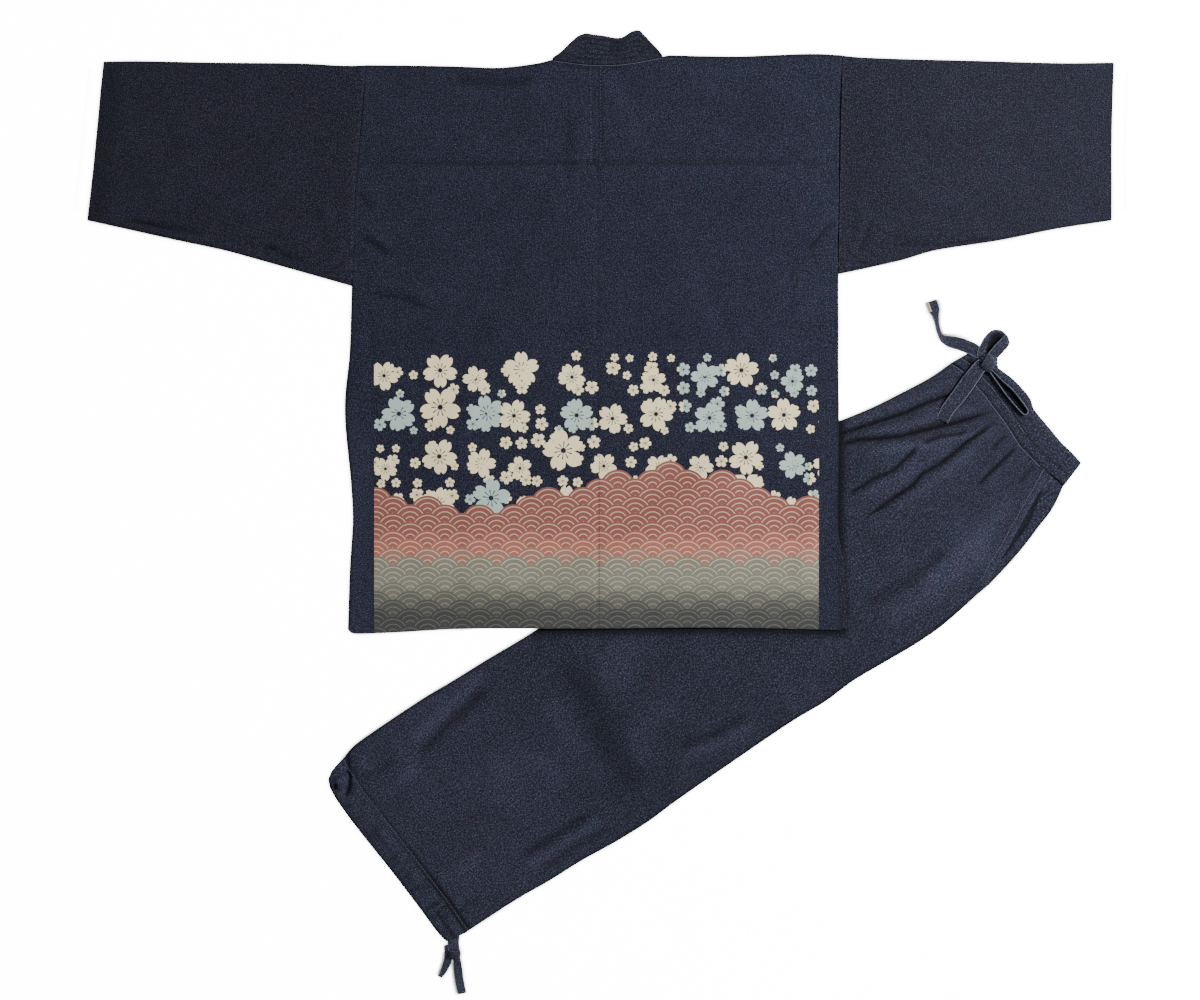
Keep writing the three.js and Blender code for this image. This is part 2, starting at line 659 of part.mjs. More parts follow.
function backPanel(outline) {
  const puff = backPuff(outline);
  const under = (x, y) => backLevel(x, y) + puff(x, y);
  return cutCloth(outline, fineCell, under, (x, y) => under(x, y) + CLOTH);
}

function layer(outline, level, thick) {
  return cutCloth(outline, coarseCell, level, (x, y) => level(x, y) + thick);
}

function sleeveTube(name) {
  const outline = sleeveOutline(name, 0, 0);
  const hollow = sleeveOutline(name, FOLD_WALL, OPEN_PAST);
  const puff = (x, y) => {
    const p = new THREE.Vector2(x, y);
    const within = inside(outline, p) ? toEdge(outline, p) : 0;
    return Math.max(0, SLEEVE_PUFF * smooth(within / SLEEVE_EASE) + creases(SLEEVE_CREASES, p));
  };
  const ceiling = (x, y) => CLOTH + GAP + puff(x, y);
  const whole = cutCloth(outline, fineCell, () => 0, (x, y) => ceiling(x, y) + CLOTH);
  return whole.subtract(cutCloth(hollow, fineCell, () => CLOTH, ceiling));
}

// The upper leg over its hidden layers
const legCell = { x: S_CELL, y: T_CELL };

function legRise(s, t) {
  const p = new THREE.Vector2(s, t);
  const within = inside(trouserOutline, p) ? toEdge(trouserOutline, p) : 0;
  const folds = LEG_FOLDS.reduce((sum, row) => {
    const line = row.s.map((value, i) => new THREE.Vector2(value, row.t[i]));
    return sum + ridge(line, row.wide, row.high, p);
  }, 0);
  const rise = Math.max(0, LEG_PUFF * smooth(within / LEG_EASE) + folds);
  const onTable = p.clone().rotateAround(new THREE.Vector2(), trouserTurn).add(trousersAt);
  const clear = Math.min(outsideBy(backLeft, onTable), outsideBy(backRight, onTable));
  return Math.min(rise, LEG_LIMIT + Math.max(0, clear - CLEAR_OF_JACKET) * CLEAR_SLOPE);
}
const legUnder = (s, t) => LEG_UNDERSIDE + legRise(s, t);
const legOver = (s, t) => legUnder(s, t) + CLOTH;

function foldedLayers() {
  let solid = cutCloth(shrink(belowWaistband, CORE_INSET), legCell, () => 0, (s, t) => legUnder(s, t) - GAP);
  for (let i = 0; i < PLATES; i += 1) {
    const low = i * (PLATE + GAP);
    const plate = prism(shrink(trouserOutline, PLATE_INSETS[i]), low, low + PLATE);
    solid = solid.add(plate);
  }
  return solid;
}

function gathered() {
  const pitch = GATHERED_WIDTH / GATHERS;
  const cell = { x: WAIST_CELL, y: pitch / GATHER_STEPS };
  const wave = (s, t) => GATHER_HEIGHT * (0.5 + 0.5 * Math.sin((t / pitch) * 2 * Math.PI));
  const under = (s, t) => LEG_UNDERSIDE + wave(s, t);
  return cutCloth(waistband, cell, under, (s, t) => under(s, t) + BAND);
}

// Straight height of the leg's upper face between its lattice corners
function legSurface(s, t) {
  const i = Math.floor(s / S_CELL);
  const j = Math.floor(t / T_CELL);
  const corners = [[i, j], [i + 1, j], [i, j + 1], [i + 1, j + 1]];
  return Math.max(...corners.map(([a, b]) => legOver(a * S_CELL, b * T_CELL)));
}

// A flat ribbon along its rows, leaning about its own line
function ribbon(rows, rest) {
  const middles = rows.map((row) => new THREE.Vector3(row.s, row.t, rest(row) + row.z));
  const ring = rows.map((row, i) => {
    const ahead = middles[Math.min(i + 1, rows.length - 1)];
    const behind = middles[Math.max(i - 1, 0)];
    const along = ahead.clone().sub(behind).normalize();
    const level = new THREE.Vector3(along.y, -along.x, 0).normalize();
    const across = level.applyAxisAngle(along, radians(row.lean ?? 0));
    const through = across.clone().cross(along).normalize();
    return [[1, 1], [-1, 1], [-1, -1], [1, -1]].map(([a, b]) => middles[i].clone()
      .addScaledVector(across, (a * row.wide) / 2)
      .addScaledVector(through, (b * RIBBON) / 2));
  });
  const positions = ring.flat().flatMap((p) => [p.x, p.y, p.z]);
  const triangles = [0, 1, 2, 0, 2, 3];
  for (let i = 0; i + 1 < rows.length; i += 1) {
    for (let k = 0; k < 4; k += 1) {
      const a = i * 4 + k;
      const b = i * 4 + ((k + 1) % 4);
      triangles.push(a, b + 4, b, a, a + 4, b + 4);
    }
  }
  const end = (rows.length - 1) * 4;
  triangles.push(end, end + 2, end + 1, end, end + 3, end + 2);
  const geometry = new THREE.BufferGeometry();
  geometry.setAttribute('position', new THREE.Float32BufferAttribute(positions, 3));
  geometry.setIndex(triangles);
  return toSolid(geometry);
}

function knotSolid(knot, grow) {
  const geometry = new THREE.SphereGeometry(0.5, KNOT_SIDES, KNOT_RINGS);
  geometry.scale(knot.length + 2 * grow, knot.width + 2 * grow, knot.height + 2 * grow);
  geometry.rotateZ(radians(knot.turn));
  geometry.translate(knot.s, knot.t, knot.z);
  return toSolid(geometry);
}

const onTableTop = () => 0;
const onTheLeg = (row) => Math.max(legSurface(row.s, row.t), LEG_UNDERSIDE + BAND + GATHER_HEIGHT);
const WAIST_TOP = LEG_UNDERSIDE + GATHER_HEIGHT + BAND;
const overWaist = prism(shrink(trouserOutline, -GAP), -1, WAIST_TOP + GAP);
const besideKnot = (solid, knot) => solid.subtract(knotSolid(knot, GAP)).subtract(overWaist);

// The garment
function addPiece(group, name, solid, look) {
  const mesh = new THREE.Mesh(toGeometry(solid), new THREE.MeshStandardMaterial(finish[look]));
  mesh.name = name;
  group.add(mesh);
}

const jacket = new THREE.Group();
addPiece(jacket, 'back_left', backPanel(backLeft), 'denimBack');
addPiece(jacket, 'back_right', backPanel(backRight), 'denimBack');
addPiece(jacket, 'sleeve_left', sleeveTube('left'), 'denim');
addPiece(jacket, 'sleeve_right', sleeveTube('right'), 'denim');
addPiece(jacket, 'front_outer', layer(frontOuter, outerLevel, CLOTH), 'denim');
addPiece(jacket, 'front_inner', layer(frontInner, innerLevel, CLOTH), 'denim');
addPiece(jacket, 'collar_back', layer(collarBack, backLevel, BAND), 'collar');
addPiece(jacket, 'collar_front_outer', layer(collarOuter, outerLevel, BAND), 'collar');
addPiece(jacket, 'collar_front_inner', layer(collarInner, innerLevel, BAND), 'collar');
addPiece(jacket, 'tie_front', layer(tieFront, outerLevel, BAND), 'ribbon');
addPiece(jacket, 'tie_side', layer(tieSide, outerLevel, BAND), 'ribbon');

const trousers = new THREE.Group();
trousers.rotation.z = trouserTurn;
trousers.position.set(TROUSERS_X, TROUSERS_Y, 0);
addPiece(trousers, 'folded_layers', foldedLayers(), 'trousers');
addPiece(trousers, 'leg_front', cutCloth(legFront, legCell, legUnder, legOver), 'trousers');
addPiece(trousers, 'leg_side_panel', cutCloth(sidePanel, legCell, legUnder, (s, t) => (
  legOver(s, t) - POCKET_STEP)), 'trousers');
addPiece(trousers, 'waistband', gathered(), 'trousers');
addPiece(trousers, 'hem_casing', cutCloth(hemCasing, legCell, legUnder, (s, t) => (
  legUnder(s, t) + BAND)), 'trousers');
addPiece(trousers, 'drawstring_knot', knotSolid(KNOT, 0).subtract(overWaist), 'ribbon');
addPiece(trousers, 'drawstring_loop_round', besideKnot(ribbon(LOOP_ROUND, onTableTop), KNOT), 'ribbon');
addPiece(trousers, 'drawstring_loop_long', besideKnot(ribbon(LOOP_LONG, onTableTop), KNOT), 'ribbon');
addPiece(trousers, 'drawstring_tail_lower', besideKnot(ribbon(TAIL_LOWER, onTheLeg), KNOT), 'ribbon');
addPiece(trousers, 'drawstring_tail_upper', besideKnot(ribbon(TAIL_UPPER, onTableTop), KNOT), 'ribbon');
addPiece(trousers, 'hem_tie_knot', knotSolid(HEM_KNOT, 0), 'ribbon');
addPiece(trousers, 'hem_tie_root', besideKnot(ribbon(HEM_TIE_LONG, onTableTop), HEM_KNOT), 'ribbon');
addPiece(trousers, 'hem_tie_long', besideKnot(ribbon(HEM_TAIL_LONG, onTableTop), HEM_KNOT), 'ribbon');
addPiece(trousers, 'hem_tie_short', besideKnot(ribbon(HEM_TAIL_SHORT, onTableTop), HEM_KNOT), 'ribbon');

// The origin is the middle of the table area that the garment covers
const samue = new THREE.Group();
samue.add(jacket, trousers);
samue.updateMatrixWorld(true);
const covered = new THREE.Box3().setFromObject(samue, true);
const centre = covered.getCenter(new THREE.Vector3());
samue.position.set(-centre.x, -centre.y, -covered.min.z);
samue.updateMatrixWorld(true);

export default samue;
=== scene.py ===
# %% [markdown]
# # A denim samue, laid flat
#
# A samue is a plain two-piece work suit: a wrap jacket with a stitched neck band, and
# drawstring trousers. Here the jacket lies face down over the folded trousers.
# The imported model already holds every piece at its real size. This lesson dresses each piece
# with finer cloth in the same place: thin shells with creases, seams, thread and a woven finish.

# %% Load the frame
import json
import math

import bpy
import numpy as np
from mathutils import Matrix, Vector

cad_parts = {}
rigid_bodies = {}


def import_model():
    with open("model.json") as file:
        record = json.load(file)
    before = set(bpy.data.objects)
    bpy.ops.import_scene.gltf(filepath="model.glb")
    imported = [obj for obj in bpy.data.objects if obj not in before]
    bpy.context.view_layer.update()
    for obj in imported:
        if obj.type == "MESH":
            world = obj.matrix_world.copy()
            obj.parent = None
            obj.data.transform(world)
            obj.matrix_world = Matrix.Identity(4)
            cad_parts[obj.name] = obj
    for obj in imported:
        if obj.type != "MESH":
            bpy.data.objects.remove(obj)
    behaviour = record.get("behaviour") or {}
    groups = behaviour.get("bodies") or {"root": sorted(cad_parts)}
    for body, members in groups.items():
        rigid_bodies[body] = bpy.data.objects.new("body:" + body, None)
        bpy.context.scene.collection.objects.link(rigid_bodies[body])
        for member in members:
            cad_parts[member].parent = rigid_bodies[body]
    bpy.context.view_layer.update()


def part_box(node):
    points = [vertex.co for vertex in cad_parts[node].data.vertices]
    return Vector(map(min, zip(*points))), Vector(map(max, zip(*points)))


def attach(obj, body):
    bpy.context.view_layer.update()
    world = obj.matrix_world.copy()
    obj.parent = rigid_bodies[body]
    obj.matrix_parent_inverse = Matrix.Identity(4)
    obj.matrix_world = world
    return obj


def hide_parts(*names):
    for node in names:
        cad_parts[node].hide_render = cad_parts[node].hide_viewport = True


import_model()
MM = 0.001

# %% [markdown]
# ## Where things lie
#
# Every table below is in millimetres. The jacket is measured from the middle of the set, with x
# to the right and y towards the collar. The trousers have a plane of their own: s runs from the
# waist to the hem, t from the centre front to the side seam. One small shift puts both on the frame,
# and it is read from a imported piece, so that nothing is fitted by eye.

# %% Places shared by both garments
shift_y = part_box("back_right")[1][1] / MM - 610.4
TROUSERS_AT = np.array([560.6, 141.0])
TROUSERS_TURN = math.radians(-144.46)
TURN = np.array([
    [math.cos(TROUSERS_TURN), -math.sin(TROUSERS_TURN)],
    [math.sin(TROUSERS_TURN), math.cos(TROUSERS_TURN)],
])
CLOTH = 1.0
GAP = 0.3


def leg_to_table(s, t):
    """Moves points of the trousers' own plane on to the table."""
    s = np.asarray(s, float)
    t = np.asarray(t, float)
    x = TURN[0, 0] * s + TURN[0, 1] * t + TROUSERS_AT[0]
    y = TURN[1, 0] * s + TURN[1, 1] * t + TROUSERS_AT[1]
    return x, y


print("shift of the set in y, mm:", round(shift_y, 3))

# %% [markdown]
# ## Camera
#
# The set was photographed from straight above, so the camera looks down on it from a little over
# two metres. Its height follows from the lens and from the width of table that the frame shows.

# %% Camera
VIEW_WIDTH = 1596
LENS = 50
SENSOR = 36
CLOTH_HEIGHT = 2

camera_data = bpy.data.cameras.new("camera")
camera_data.lens = LENS
camera_data.sensor_width = SENSOR
camera = bpy.data.objects.new("camera", camera_data)
camera_height = VIEW_WIDTH * LENS / SENSOR + CLOTH_HEIGHT
camera.location = (-0.7 * MM, (18.6 + shift_y) * MM, camera_height * MM)
bpy.context.scene.collection.objects.link(camera)
bpy.context.scene.camera = camera
print("camera height, mm:", round(camera_height))

# %% [markdown]
# ## Small tools for cloth
#
# Cloth is easier to shape with numbers than by hand: each crease is a line with a width and a
# height, and each edge is a curve. These helpers measure how far points lie from such lines,
# and give a repeatable ripple so that no stretch of cloth is dead flat.


# %% Steps, distances and ripples
def smooth(value):
    v = np.clip(value, 0, 1)
    return v * v * (3 - 2 * v)


def to_line(x, y, points):
    """Distance from each point to a broken line, and how far along the line it is met, 0 to 1."""
    points = np.asarray(points, float)
    away = np.full(np.shape(x), np.inf)
    share = np.zeros(np.shape(x))
    steps = np.hypot(*np.diff(points, axis=0).T)
    total = steps.sum()
    done = 0.0
    for a, b, step in zip(points[:-1], points[1:], steps):
        along = (b - a) / max(step, 1e-9)
        reach = np.clip((x - a[0]) * along[0] + (y - a[1]) * along[1], 0, step)
        far = np.hypot(x - a[0] - reach * along[0], y - a[1] - reach * along[1])
        near = far < away
        away = np.where(near, far, away)
        share = np.where(near, (done + reach) / total, share)
        done += step
    return away, share


def is_inside(x, y, outline):
    outline = np.asarray(outline, float)
    within = np.zeros(np.shape(x), bool)
    for a, b in zip(outline, np.roll(outline, -1, axis=0)):
        if a[1] != b[1]:
            crosses = (a[1] > y) != (b[1] > y)
            within ^= crosses & (x < (b[0] - a[0]) * (y - a[1]) / (b[1] - a[1]) + a[0])
    return within


def outside_by(x, y, outline):
    closed = np.vstack([outline, outline[:1]])
    return np.where(is_inside(x, y, outline), 0, to_line(x, y, closed)[0])


def ripple(x, y, wave, seed):
    """A soft random surface from -1 to 1, repeatable, with humps about one wave apart."""
    size = 64
    grid = np.random.default_rng(seed).uniform(-1, 1, (size, size))
    u = np.asarray(x, float) / wave
    v = np.asarray(y, float) / wave
    i = np.floor(u).astype(int)
    j = np.floor(v).astype(int)
    fu = smooth(u - i)
    fv = smooth(v - j)
    low = grid[i % size, j % size] * (1 - fu) + grid[(i + 1) % size, j % size] * fu
    high = grid[i % size, (j + 1) % size] * (1 - fu) + grid[(i + 1) % size, (j + 1) % size] * fu
    return low * (1 - fv) + high * fv


def fold_height(x, y, rows):
    """Sum of creases: (points, width, height, sharp). Sharp ones come to an edge, like a pressed fold."""
    total = np.zeros(np.shape(x))
    for points, wide, high, sharp in rows:
        away, share = to_line(x, y, points)
        fade = smooth(np.minimum(share, 1 - share) * 5 + 0.12)
        ratio = away / wide
        shape = np.exp(-ratio) if sharp else np.exp(-ratio**2)
        total += high * fade * shape
    return total


def fold_shade(x, y, rows):
    """How dark the bottom of each trough is, 0 to 1: light hardly reaches into a narrow fold."""
    dark = np.zeros(np.shape(x))
    for points, wide, high, sharp in rows:
        if high < 0:
            away, share = to_line(x, y, points)
            fade = smooth(np.minimum(share, 1 - share) * 6 + 0.1)
            if sharp:
                line = np.exp(-(away / 1.9) ** 2) + 0.45 * np.exp(-(away / wide) ** 2)
            else:
                line = 0.8 * np.exp(-(away / (0.9 * wide)) ** 2)
            dark = np.maximum(dark, np.minimum(min(1, -high / 2.8) * fade * line, 1))
    return dark


# %% [markdown]
# ## From four edges to a cloth
#
# A pattern piece has four sides. Blending four edge curves, which is called a Coons patch, gives
# a net of points that runs with the cloth's own threads. The net doubles as the map for the weave.


# %% Curves and patches
def curve(points, count=None, places=None, soft=True):
    """A smooth curve through the points, sampled evenly by length or at the places given."""
    points = np.asarray(points, float)
    if soft and len(points) > 2:
        padded = np.vstack([2 * points[0] - points[1], points, 2 * points[-1] - points[-2]])
        fine = []
        for p0, p1, p2, p3 in zip(padded[:-3], padded[1:-2], padded[2:-1], padded[3:]):
            f = np.linspace(0, 1, 12, endpoint=False)[:, None]
            m1 = (p2 - p0) / 2
            m2 = (p3 - p1) / 2
            span = np.hypot(*(p2 - p1)[:2])
            m1 = m1 * min(1, 1.2 * span / max(np.hypot(*m1[:2]), 1e-9))
            m2 = m2 * min(1, 1.2 * span / max(np.hypot(*m2[:2]), 1e-9))
            fine.append((2 * f**3 - 3 * f**2 + 1) * p1 + (f**3 - 2 * f**2 + f) * m1
                        + (3 * f**2 - 2 * f**3) * p2 + (f**3 - f**2) * m2)
        points = np.vstack([*fine, points[-1:]])
    steps = np.hypot(*np.diff(points[:, :2], axis=0).T)
    reach = np.concatenate([[0], np.cumsum(steps)])
    if places is None:
        places = np.linspace(0, 1, count)
    at = np.asarray(places) * reach[-1]
    return np.stack([np.interp(at, reach, points[:, k]) for k in range(points.shape[1])], axis=-1)


def length_of(points):
    return float(np.hypot(*np.diff(np.asarray(points, float)[:, :2], axis=0).T).sum())


RIM_STEPS = (0.5, 1.2, 2.2, 3.6, 5.6)  # closer rows of the net beside an edge, in mm


def spaced(length, cell, fine=None, fine_to=0):
    """Places from 0 to 1 along an edge, crowded near both ends so that a rolled rim stays round."""
    first = RIM_STEPS[-1]
    close = np.arange(first + (fine or cell), fine_to, fine) if fine else np.zeros(0)
    start = close[-1] if len(close) else first
    middle = np.arange(start + cell, length - first - cell / 2, cell)
    ends = np.array([0, *RIM_STEPS])
    return np.concatenate([ends, close, middle, (length - ends)[::-1]]) / length


def patch(bottom, top, left, right, cell_u, cell_v, fine_u=None, fine_to=0):
    """A net over four edges; bottom and top run the same way, and so do left and right."""
    wide = (length_of(bottom) + length_of(top)) / 2
    tall = (length_of(left) + length_of(right)) / 2
    u = spaced(wide, cell_u, fine_u, fine_to)
    v = spaced(tall, cell_v)
    b, t = (curve(edge, places=u) for edge in (bottom, top))
    l, r = (curve(edge, places=v) for edge in (left, right))
    uu, vv = np.meshgrid(u, v)
    uu = uu[..., None]
    vv = vv[..., None]
    net = (1 - vv) * b[None] + vv * t[None] + (1 - uu) * l[:, None] + uu * r[:, None]
    net -= (1 - uu) * (1 - vv) * b[0] + uu * (1 - vv) * b[-1]
    net -= (1 - uu) * vv * t[0] + uu * vv * t[-1]
    grain = np.stack([uu[..., 0] * wide, vv[..., 0] * tall], axis=-1)
    return net[..., 0], net[..., 1], grain


# %% [markdown]
# ## Turning a net into a wall of cloth
#
# Cloth is not a sheet without thickness: a folded edge is round and throws a thin shadow.
# Each net becomes a closed wall with an upper face, a lower face and a half-round rim.
# Building the mesh from arrays is faster than adding faces one by one.


def to_mesh(name, points, faces, grain=None, wear_and_painted_light=None, shade=None):
    """A smooth mesh object from points in mm, with the cloth map, each point's wear and painted light, and
    its painted shade.
    """
    points = np.asarray(points, float).copy()
    points[:, 1] += shift_y
    title = name.replace("_", "-").replace(" ", "-")
    mesh = bpy.data.meshes.new(title)
    mesh.from_pydata((points * MM).tolist(), [], [list(map(int, face)) for face in faces])
    mesh.polygons.foreach_set("use_smooth", [True] * len(mesh.polygons))
    corner = np.zeros(len(mesh.loops), int)
    mesh.loops.foreach_get("vertex_index", corner)
    if grain is None:
        grain = points[:, :2]
    cloth_map = mesh.uv_layers.new(name="cloth")
    cloth_map.data.foreach_set("uv", (np.asarray(grain)[corner] * MM).ravel())
    for label, values in (("wear_and_painted_light", wear_and_painted_light), ("shade", shade)):
        if values is not None:
            layer = mesh.attributes.new(label, "FLOAT", "POINT")
            layer.data.foreach_set("value", np.asarray(values, float))
    mesh.update()
    thing = bpy.data.objects.new(title, mesh)
    bpy.context.scene.collection.objects.link(thing)
    return thing


def grid_faces(rows, columns, start, flip=False):
    j, i = np.meshgrid(np.arange(rows - 1), np.arange(columns - 1), indexing="ij")
    a = start + j * columns + i
    faces = np.stack([a, a + 1, a + columns + 1, a + columns], axis=-1).reshape(-1, 4)
    return faces[:, ::-1] if flip else faces


def rim_order(rows, columns):
    """The net's outer points, once round, anticlockwise."""
    a = np.arange(rows * columns).reshape(rows, columns)
    return np.concatenate([a[0, :-1], a[:-1, -1], a[-1, :0:-1], a[:0:-1, 0]])


def wall(name, net, low, thick=CLOTH, wear_and_painted_light=None, to_table=None, shade=None):
    """A closed cloth wall over a net, from its lower face's height and its thickness."""
    x, y, grain = net
    rows, columns = x.shape
    if to_table is not None:
        x, y = to_table(x, y)
    mirrored = (x[0, -1] - x[0, 0]) * (y[-1, 0] - y[0, 0]) < (y[0, -1] - y[0, 0]) * (x[-1, 0] - x[0, 0])
    lower = np.stack([x, y, low], axis=-1).reshape(-1, 3)
    upper = lower + [0, 0, thick]
    ring = rim_order(rows, columns)
    ahead = lower[np.roll(ring, -1)][:, :2]
    behind = lower[np.roll(ring, 1)][:, :2]
    run = ahead - behind
    out = np.stack([run[:, 1], -run[:, 0]], axis=-1)
    out /= np.maximum(np.hypot(*out.T), 1e-9)[:, None]
    if mirrored:
        out = -out
    middle = (lower[ring] + upper[ring]) / 2
    middle[:, :2] += out * thick * 0.45
    count = len(lower)
    faces = [grid_faces(rows, columns, 0), grid_faces(rows, columns, count, flip=True)]
    edge = np.arange(len(ring))
    ahead_edge = np.roll(edge, -1)
    to_middle = np.stack([ring, 2 * count + edge, 2 * count + ahead_edge, ring[ahead_edge]], axis=-1)
    to_lower = np.stack([2 * count + edge, count + ring, count + ring[ahead_edge], 2 * count + ahead_edge],
                        axis=-1)
    faces += [to_middle, to_lower]
    faces = np.vstack(faces)
    if mirrored:
        faces = faces[:, ::-1]
    flat_grain = grain.reshape(-1, 2)

    def on_points(values):
        flat = np.zeros(count) if values is None else np.asarray(values).ravel()
        return np.concatenate([flat, 0 * flat, flat[ring]])

    return to_mesh(
        name,
        np.vstack([upper, lower, middle]),
        faces,
        np.vstack([flat_grain, flat_grain, flat_grain[ring]]),
        on_points(wear_and_painted_light),
        on_points(shade),
    )


def flat_area(thing, layers=2):
    """Area of one layer of a closed wall, in square metres."""
    return sum(face.area for face in thing.data.polygons) / layers


# %% [markdown]
# ## The cloth's finish, one effect at a time
#
# Denim is a twill: dark warp over pale weft, so it looks speckled from a step away. Real indigo
# cloth is never one colour: threads are uneven, patches lean to purple or green, and edges wear.
# Each effect is a group with named sockets, so that every garment piece can use it with its own values.


# %% Node helpers
def new_group(name, inputs, outputs):
    """A shader node group; inputs and outputs are rows of (name, kind, default)."""
    group = bpy.data.node_groups.new(name, "ShaderNodeTree")
    for label, kind, default in inputs:
        socket = group.interface.new_socket(name=label, in_out="INPUT", socket_type=kind)
        if default is not None:
            socket.default_value = default
    for label, kind in outputs:
        group.interface.new_socket(name=label, in_out="OUTPUT", socket_type=kind)
    return group, group.nodes.new("NodeGroupInput"), group.nodes.new("NodeGroupOutput")


class Wires:
    """Short words for adding nodes to one tree and joining them."""

    def __init__(self, tree):
        self.tree = tree

    def node(self, kind, links=(), **settings):
        made_node = self.tree.nodes.new(kind)
        for key, value in settings.items():
            setattr(made_node, key, value)
        for socket, value in links:
            target = made_node.inputs[socket]
            if isinstance(value, bpy.types.NodeSocket):
                self.tree.links.new(value, target)
            else:
                target.default_value = value
        return made_node

    def math(self, operation, first, second=0.0, third=0.0, clamp=False):
        links = [(0, first), (1, second), (2, third)]
        return self.node("ShaderNodeMath", links, operation=operation, use_clamp=clamp).outputs[0]

    def step(self, value, low, high):
        links = [("Value", value), ("From Min", low), ("From Max", high)]
        return self.node("ShaderNodeMapRange", links, interpolation_type="SMOOTHSTEP").outputs[0]

    def mix(self, share, first, second, blend="MIX"):
        made_node = self.node("ShaderNodeMix", data_type="RGBA", blend_type=blend, clamp_factor=True)
        sockets = [s for s in made_node.inputs if s.enabled]
        for socket, value in zip(sockets, (share, first, second)):
            if isinstance(value, bpy.types.NodeSocket):
                self.tree.links.new(value, socket)
            else:
                socket.default_value = value
        return next(s for s in made_node.outputs if s.enabled)

    def noise(self, vector, scale, detail=2.0, rough=0.5, dimensions="3D"):
        links = [("Vector", vector), ("Scale", scale), ("Detail", detail), ("Roughness", rough)]
        return self.node("ShaderNodeTexNoise", links, noise_dimensions=dimensions).outputs[0]

    def scaled(self, vector, by, move=(0, 0, 0)):
        links = [("Vector", vector), ("Scale", by), ("Location", move)]
        return self.node("ShaderNodeMapping", links).outputs[0]

    def link(self, value, target):
        self.tree.links.new(value, target)


def srgb(red, green, blue):
    """A colour given as 0 to 255 screen values, as the linear numbers that a shader needs."""
    def linear(value):
        c = value / 255
        return c / 12.92 if c <= 0.04045 else ((c + 0.055) / 1.055) ** 2.4
    return (linear(red), linear(green), linear(blue), 1.0)


# %% [markdown]
# ### Denim yarns
#
# The speckle has three sizes: single yarns about a millimetre across, slubs where a warp yarn
# thickens for a centimetre, and broad clouds of dye. The group gives a colour and a height.

# %% Denim yarn group
yarn_group, yarn_in, yarn_out = new_group(
    "denim yarns",
    [
        ("Cloth Map", "NodeSocketVector", None),
        ("Dark Yarn", "NodeSocketColor", srgb(34, 36, 48)),
        ("Pale Yarn", "NodeSocketColor", srgb(96, 102, 120)),
        ("Speckle", "NodeSocketFloat", 0.5),
        ("Clouds", "NodeSocketFloat", 0.3),
        ("Wear And Painted Light", "NodeSocketFloat", 0.0),
    ],
    [("Color", "NodeSocketColor"), ("Height", "NodeSocketFloat"), ("Grey", "NodeSocketFloat")],
)
w = Wires(yarn_group)
mm_map = w.scaled(yarn_in.outputs["Cloth Map"], (1000, 1000, 1000))
heather = w.noise(mm_map, 0.62, 3, 0.6, "2D")
fleck = w.noise(w.scaled(mm_map, (0.7, 0.55, 1)), 1.0, 1, 0.5, "2D")
slub = w.noise(w.scaled(mm_map, (0.75, 0.055, 1), (13, 5, 0)), 1.0, 1, 0.5, "2D")
weft_slub = w.noise(w.scaled(mm_map, (0.05, 0.7, 1), (3, 31, 0)), 1.0, 1, 0.5, "2D")
cloud = w.noise(mm_map, 0.017, 2, 0.55, "2D")
hue_cloud = w.noise(w.scaled(mm_map, (1, 1, 1), (70, 20, 0)), 0.03, 2, 0.5, "2D")
bright = w.math("ADD", w.step(heather, 0.48, 0.74), w.math("MULTIPLY", w.step(fleck, 0.56, 0.76), 1.1))
bright = w.math("ADD", bright, w.math("MULTIPLY", w.step(slub, 0.54, 0.84), 0.25))
bright = w.math("ADD", bright, w.math("MULTIPLY", w.step(weft_slub, 0.55, 0.85), 0.2))
pale_share = w.math("MULTIPLY", bright, yarn_in.outputs["Speckle"])
# Real wear and painted highlights both come in here and make the yarns paler.
wear_and_light_share = w.math("MULTIPLY", yarn_in.outputs["Wear And Painted Light"], w.step(heather, 0.3, 0.7))
pale_share = w.math("ADD", pale_share, wear_and_light_share, clamp=True)
yarn_colour = w.mix(pale_share, yarn_in.outputs["Dark Yarn"], yarn_in.outputs["Pale Yarn"])
shade = w.math("MULTIPLY", w.math("SUBTRACT", cloud, 0.5), yarn_in.outputs["Clouds"])
shade = w.math("ADD", w.math("MULTIPLY", shade, 2.4), 1.0)
grey = w.node("ShaderNodeCombineColor", [(0, shade), (1, shade), (2, shade)]).outputs[0]
shaded = w.mix(1.0, yarn_colour, grey, "MULTIPLY")
tinted = w.mix(w.math("MULTIPLY", w.step(hue_cloud, 0.4, 0.65), 0.55), shaded,
               w.mix(1.0, shaded, (1.14, 0.94, 1.0, 1), "MULTIPLY"))
twill_across = w.node("ShaderNodeTexWave", [("Vector", mm_map), ("Scale", 0.34), ("Distortion", 0.6)],
                      bands_direction="DIAGONAL").outputs["Fac"]
height = w.math("ADD", w.math("MULTIPLY", twill_across, 0.45), w.math("MULTIPLY", heather, 0.8))
height = w.math("ADD", height, w.math("MULTIPLY", slub, 0.35))
w.link(tinted, yarn_out.inputs["Color"])
w.link(height, yarn_out.inputs["Height"])
w.link(bright, yarn_out.inputs["Grey"])
print("denim yarn nodes:", len(yarn_group.nodes))

# %% [markdown]
# ### A printed panel
#
# The lower back carries a print, dyed into the cloth inside a sharp-edged rectangle. This one is a
# generic pattern: five-petalled blossoms drift over a band of overlapping wave scales, which are
# an old and common motif. The scales are worked out with plain geometry: each is a circle, and
# a lower row always lies over the one above it.

# %% One row of wave scales
SCALE_RADIUS = 23.0
ROW_STEP = SCALE_RADIUS / 2

